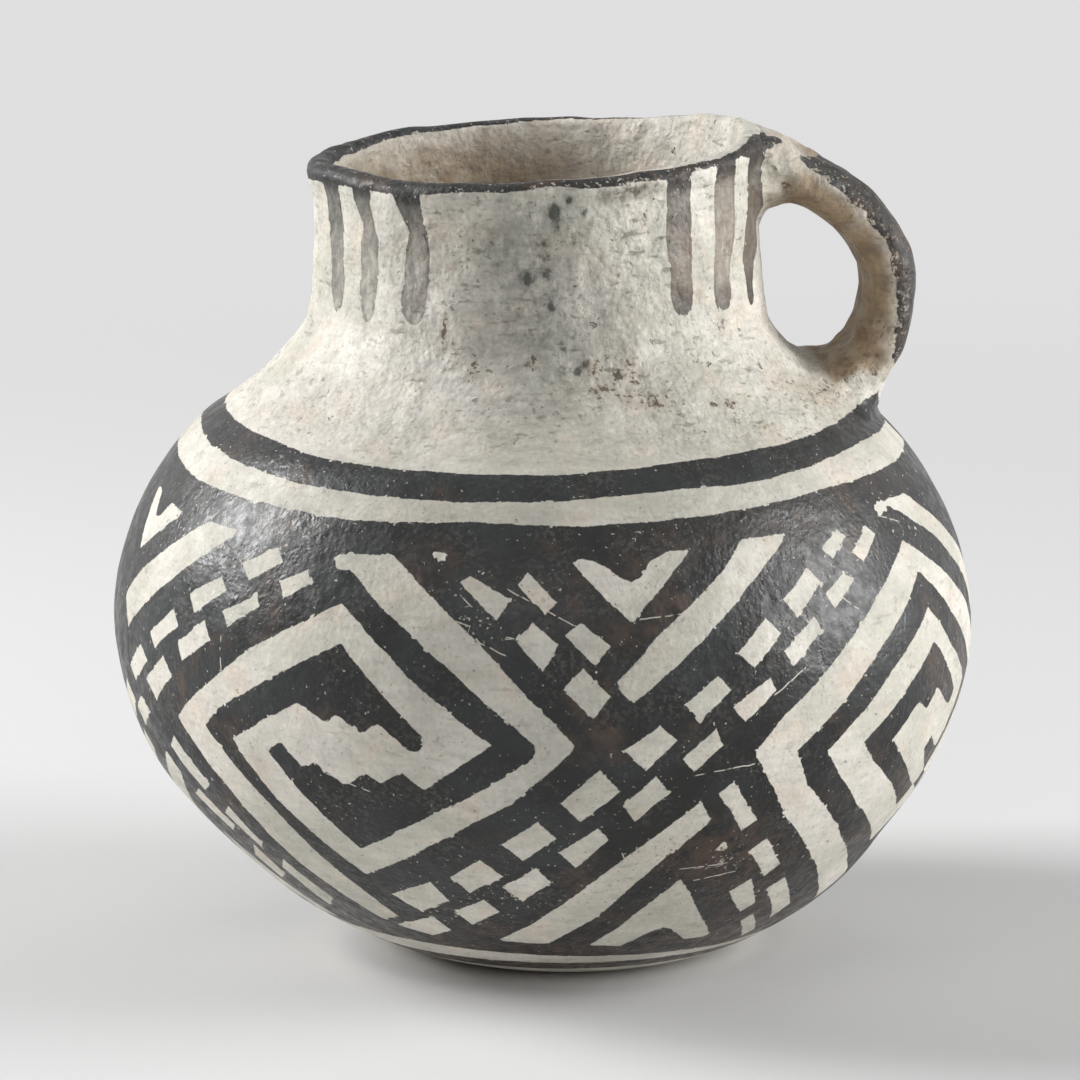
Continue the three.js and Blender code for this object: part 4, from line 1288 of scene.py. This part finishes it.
def ink_loss(s):
    """Where the paint has gone: flecks, worn patches and scratches, and painted sheen where some wear marks
    lie.
    """
    small, large = s.spots(4.2, 0.34, 0.045, seed=16), s.spots(11, 0.7, 0.14, seed=18, ragged=0.8)
    flecks = s.times(s.most(small, large), 0.8)
    wear_and_sheen = s.times(s.field("wear_and_sheen"), 0.15)
    rubbed = s.step(s.add(s.grain(0.9, 2, 0.62, seed=21), wear_and_sheen), 0.68, 0.74)
    broken = s.patches(1.6, 0.36, 0.46, 1, seed=26)
    aside = s.add(s.field("scratch_across"), s.around_zero(2.4, 0.5, 1))
    line = s.step(s.math("ABSOLUTE", aside), 0.17, 0.06)
    scratch = s.times(line, s.step(s.field("scratch_within"), -0.2, 0.5), broken)
    return s.most(flecks, s.times(rubbed, 0.72), s.times(scratch, 0.85))


def slip_finish(name):
    """The fired surface: slip with the paint on it, or the bare clay under the foot and inside."""
    material = bpy.data.materials.new(name)
    s = Shade(material)
    rough = s.field("rough")
    pits = s.times(s.spots(3.6, 0.55, 0.3, seed=10, ragged=0.8), rough)
    ragged = s.add(s.around_zero(1.0, 0.55, 1.8, 0.62, seed=27), s.around_zero(6, 0.9, 2, seed=29))
    bites = s.times(s.patches(2.3, 0.57, 0.7, 2.4, 0.62, seed=53), -0.45)
    checker = s.least(s.field("checker_length"), s.field("checker_width"))
    inside_paint = s.least(s.field("paint"), s.times(checker, -1.0))
    edge = s.add(inside_paint, s.add(ragged, bites))
    painted = s.step(edge, -0.1, 0.12)
    pooled = s.step(edge, 0.9, 0.15, 1.0, 0.72)
    patchy = s.add(s.around_zero(1.5, 1.8, 2.2, 0.6, (1, 1, 0.4), seed=31), 1.0)
    thin = s.times(s.field("thin"), patchy, pooled)
    cover = s.times(painted, s.inverse(ink_loss(s)), s.inverse(thin))
    clay = s.mix(s.patches(5, 0.36, 0.7, 3, 0.6, (1, 1, 2), seed=33), CLAY, DARK_CLAY)
    uneven = s.patches(6, 0.3, 0.62, 3, 0.6, seed=35, bottom=0.55)
    # Clay colour: bare clay under the foot and inside the mouth, and dirt with painted shade on the strap
    soil_and_shade = s.times(s.most(s.field("soil_and_shade"), s.field("bare")), uneven)
    ground = s.mix(s.least(soil_and_shade, 0.9), slip_colour(s, rough, pits), clay)
    colour = s.mix(cover, ground, ink_colour(s))
    slip_gloss = s.patches(3, 0.3, 0.7, 2, seed=37, bottom=0.5, top=0.72)
    ink_gloss = s.patches(2.6, 0.3, 0.7, 3, 0.62, seed=39, bottom=0.27, top=0.5)
    ink_gloss = s.add(ink_gloss, s.times(s.field("matt"), 0.16))
    roughness = s.add(s.times(cover, ink_gloss), s.times(s.inverse(cover), slip_gloss))
    s.put(s.surface, s.solid(colour, roughness, surface_relief(s, rough, pits)))
    return material


def surface_relief(s, rough, pits):
    """Height of the surface's small relief, in millimetres."""
    coarse = s.times(s.grain(4.4, 2.4, 0.5, seed=41), s.step(rough, 0.3, 0.9, 0.45, 1.0))
    flakes = s.times(s.patches(3.6, 0.53, 0.6, 3, 0.62, seed=34), -0.06)
    height = s.times(s.add(coarse, flakes, s.times(pits, -0.45)), rough)
    fine = s.times(s.grain(1.0, 1, 0.5, seed=43), s.add(s.times(rough, 0.14), 0.05))
    burnish = s.times(s.grain(3.8, 1.6, 0.45, (0.6, 0.6, 1), seed=45), 0.21)
    dents = s.times(s.spots(6, 1.5, 0.4, seed=47, ragged=0.3, core=0.0), -0.12)
    return s.add(s.add(height, fine), s.add(burnish, dents))


# Stage: a round floor that fades into the pale backdrop, from one distance to another in metres
PALE_FLOOR = (0.74, 0.74, 0.735)
BACKDROP_COLOUR = (1, 1, 1)
BACKDROP_LIGHT = 0.74
FLOOR_REACH = 2.5
FADE_FROM = 0.2
FADE_TO = 0.8
FLOOR_SIDES = 64
FLOOR_ROUGHNESS = 0.7
SEEN_RAYS = ("Is Camera Ray", "Is Glossy Ray", "Is Transmission Ray")


def studio_floor():
    material = bpy.data.materials.new("studio_floor")
    s = Shade(material)
    lit = s.solid(PALE_FLOOR, FLOOR_ROUGHNESS, 0.0)
    backdrop = s.node("Emission", {"Color": BACKDROP_COLOUR, "Strength": BACKDROP_LIGHT}).outputs[0]
    far = s.step(s.vector_math("LENGTH", s.place, (0, 0, 0), "Value"), FADE_FROM, FADE_TO)
    top = s.mix_surfaces(s.times(far, s.seen_rays()), lit, backdrop)
    below = s.node("BsdfTransparent").outputs[0]
    s.put(s.surface, s.mix_surfaces(s.node("NewGeometry").outputs["Backfacing"], top, below))
    turns = round_turns(FLOOR_SIDES)
    points = [(FLOOR_REACH * math.cos(turn), FLOOR_REACH * math.sin(turn), 0.0) for turn in turns]
    mesh = bpy.data.meshes.new("studio_floor")
    mesh.from_pydata(points, [], [list(range(FLOOR_SIDES))])
    mesh.materials.append(material)
    add_object("studio_floor", mesh)


# Camera: its distance, its direction as degrees round and up, and where it looks, in metres
CAMERA_DISTANCE = 1.1
CAMERA_AROUND = -5
CAMERA_UP = 11.61
CAMERA_LENS = 196.4
SENSOR = 36
LOOK_ASIDE = -0.00062
LOOK_HEIGHT = 0.07606


def add_camera():
    around, up = math.radians(CAMERA_AROUND), math.radians(CAMERA_UP)
    right = Vector((math.cos(around), math.sin(around), 0))
    back = Vector((math.sin(around) * math.cos(up), -math.cos(around) * math.cos(up), math.sin(up)))
    camera = bpy.data.cameras.new("camera")
    camera.lens, camera.sensor_width = CAMERA_LENS, SENSOR
    camera.clip_start, camera.clip_end = 0.05, 20
    holder = add_object("camera", camera)
    holder.location = right * LOOK_ASIDE + Vector((0, 0, LOOK_HEIGHT)) + back * CAMERA_DISTANCE
    holder.rotation_euler = (-back).to_track_quat("-Z", "Y").to_euler()
    bpy.context.scene.camera = holder


# Lamps: name, place, width and height in metres, and watts
LAMPS = [
    ("left_box", (-1.2, 0.38, 0.76), 0.6, 0.7, 23.5),
    ("right_box", (1.28, -0.22, 0.5), 0.8, 0.9, 19.5),
    ("front_fill", (-0.3, -1.8, 1.15), 1.2, 0.9, 3.4),
]
LAMP_AIM = (0, 0, 0.075)
WORLD_COLOUR = (0.95, 0.97, 1.0)
WORLD_LIGHT = 0.2


def add_lamps():
    for name, place, width, height, watts in LAMPS:
        lamp = bpy.data.lights.new(name, "AREA")
        lamp.shape = "RECTANGLE"
        lamp.size, lamp.size_y, lamp.energy = width, height, watts
        holder = add_object(name, lamp)
        holder.location = place
        holder.rotation_euler = (Vector(LAMP_AIM) - Vector(place)).to_track_quat("-Z", "Y").to_euler()


def set_world():
    """Dim light from all round for the object, and the pale backdrop for the rays that show it."""
    world = bpy.data.worlds.new("studio")
    bpy.context.scene.world = world
    s = Shade(world, "OutputWorld")
    light, seen = (
        s.node("Background", {"Color": colour, "Strength": strength}).outputs[0]
        for colour, strength in ((WORLD_COLOUR, WORLD_LIGHT), (BACKDROP_COLOUR, BACKDROP_LIGHT))
    )
    s.put(s.surface, s.mix_surfaces(s.seen_rays(), light, seen))


def dress():
    foot = turned_skin("pitcher_foot", foot_rows(), HOLLOW_DEPTH, True)
    body = turned_skin("pitcher_body", body_rows(), FLOOR, False)
    handle = strap_skin(body)
    courses = sorted(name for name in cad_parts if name.endswith("_course"))
    for piece, slot, nodes in (
        (foot, "foot_clay", ["base_pat"]),
        (body, "painted_slip", [*courses, "lip_coil"]),
        (handle, "handle_slip", ["handle_strap", "upper_lute", "lower_lute"]),
    ):
        piece.data.materials.append(slip_finish(slot))
        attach(piece, "root")
        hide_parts(*nodes)


bpy.context.scene.view_settings.view_transform = "Standard"
add_camera()
add_lamps()
set_world()
studio_floor()
dress()
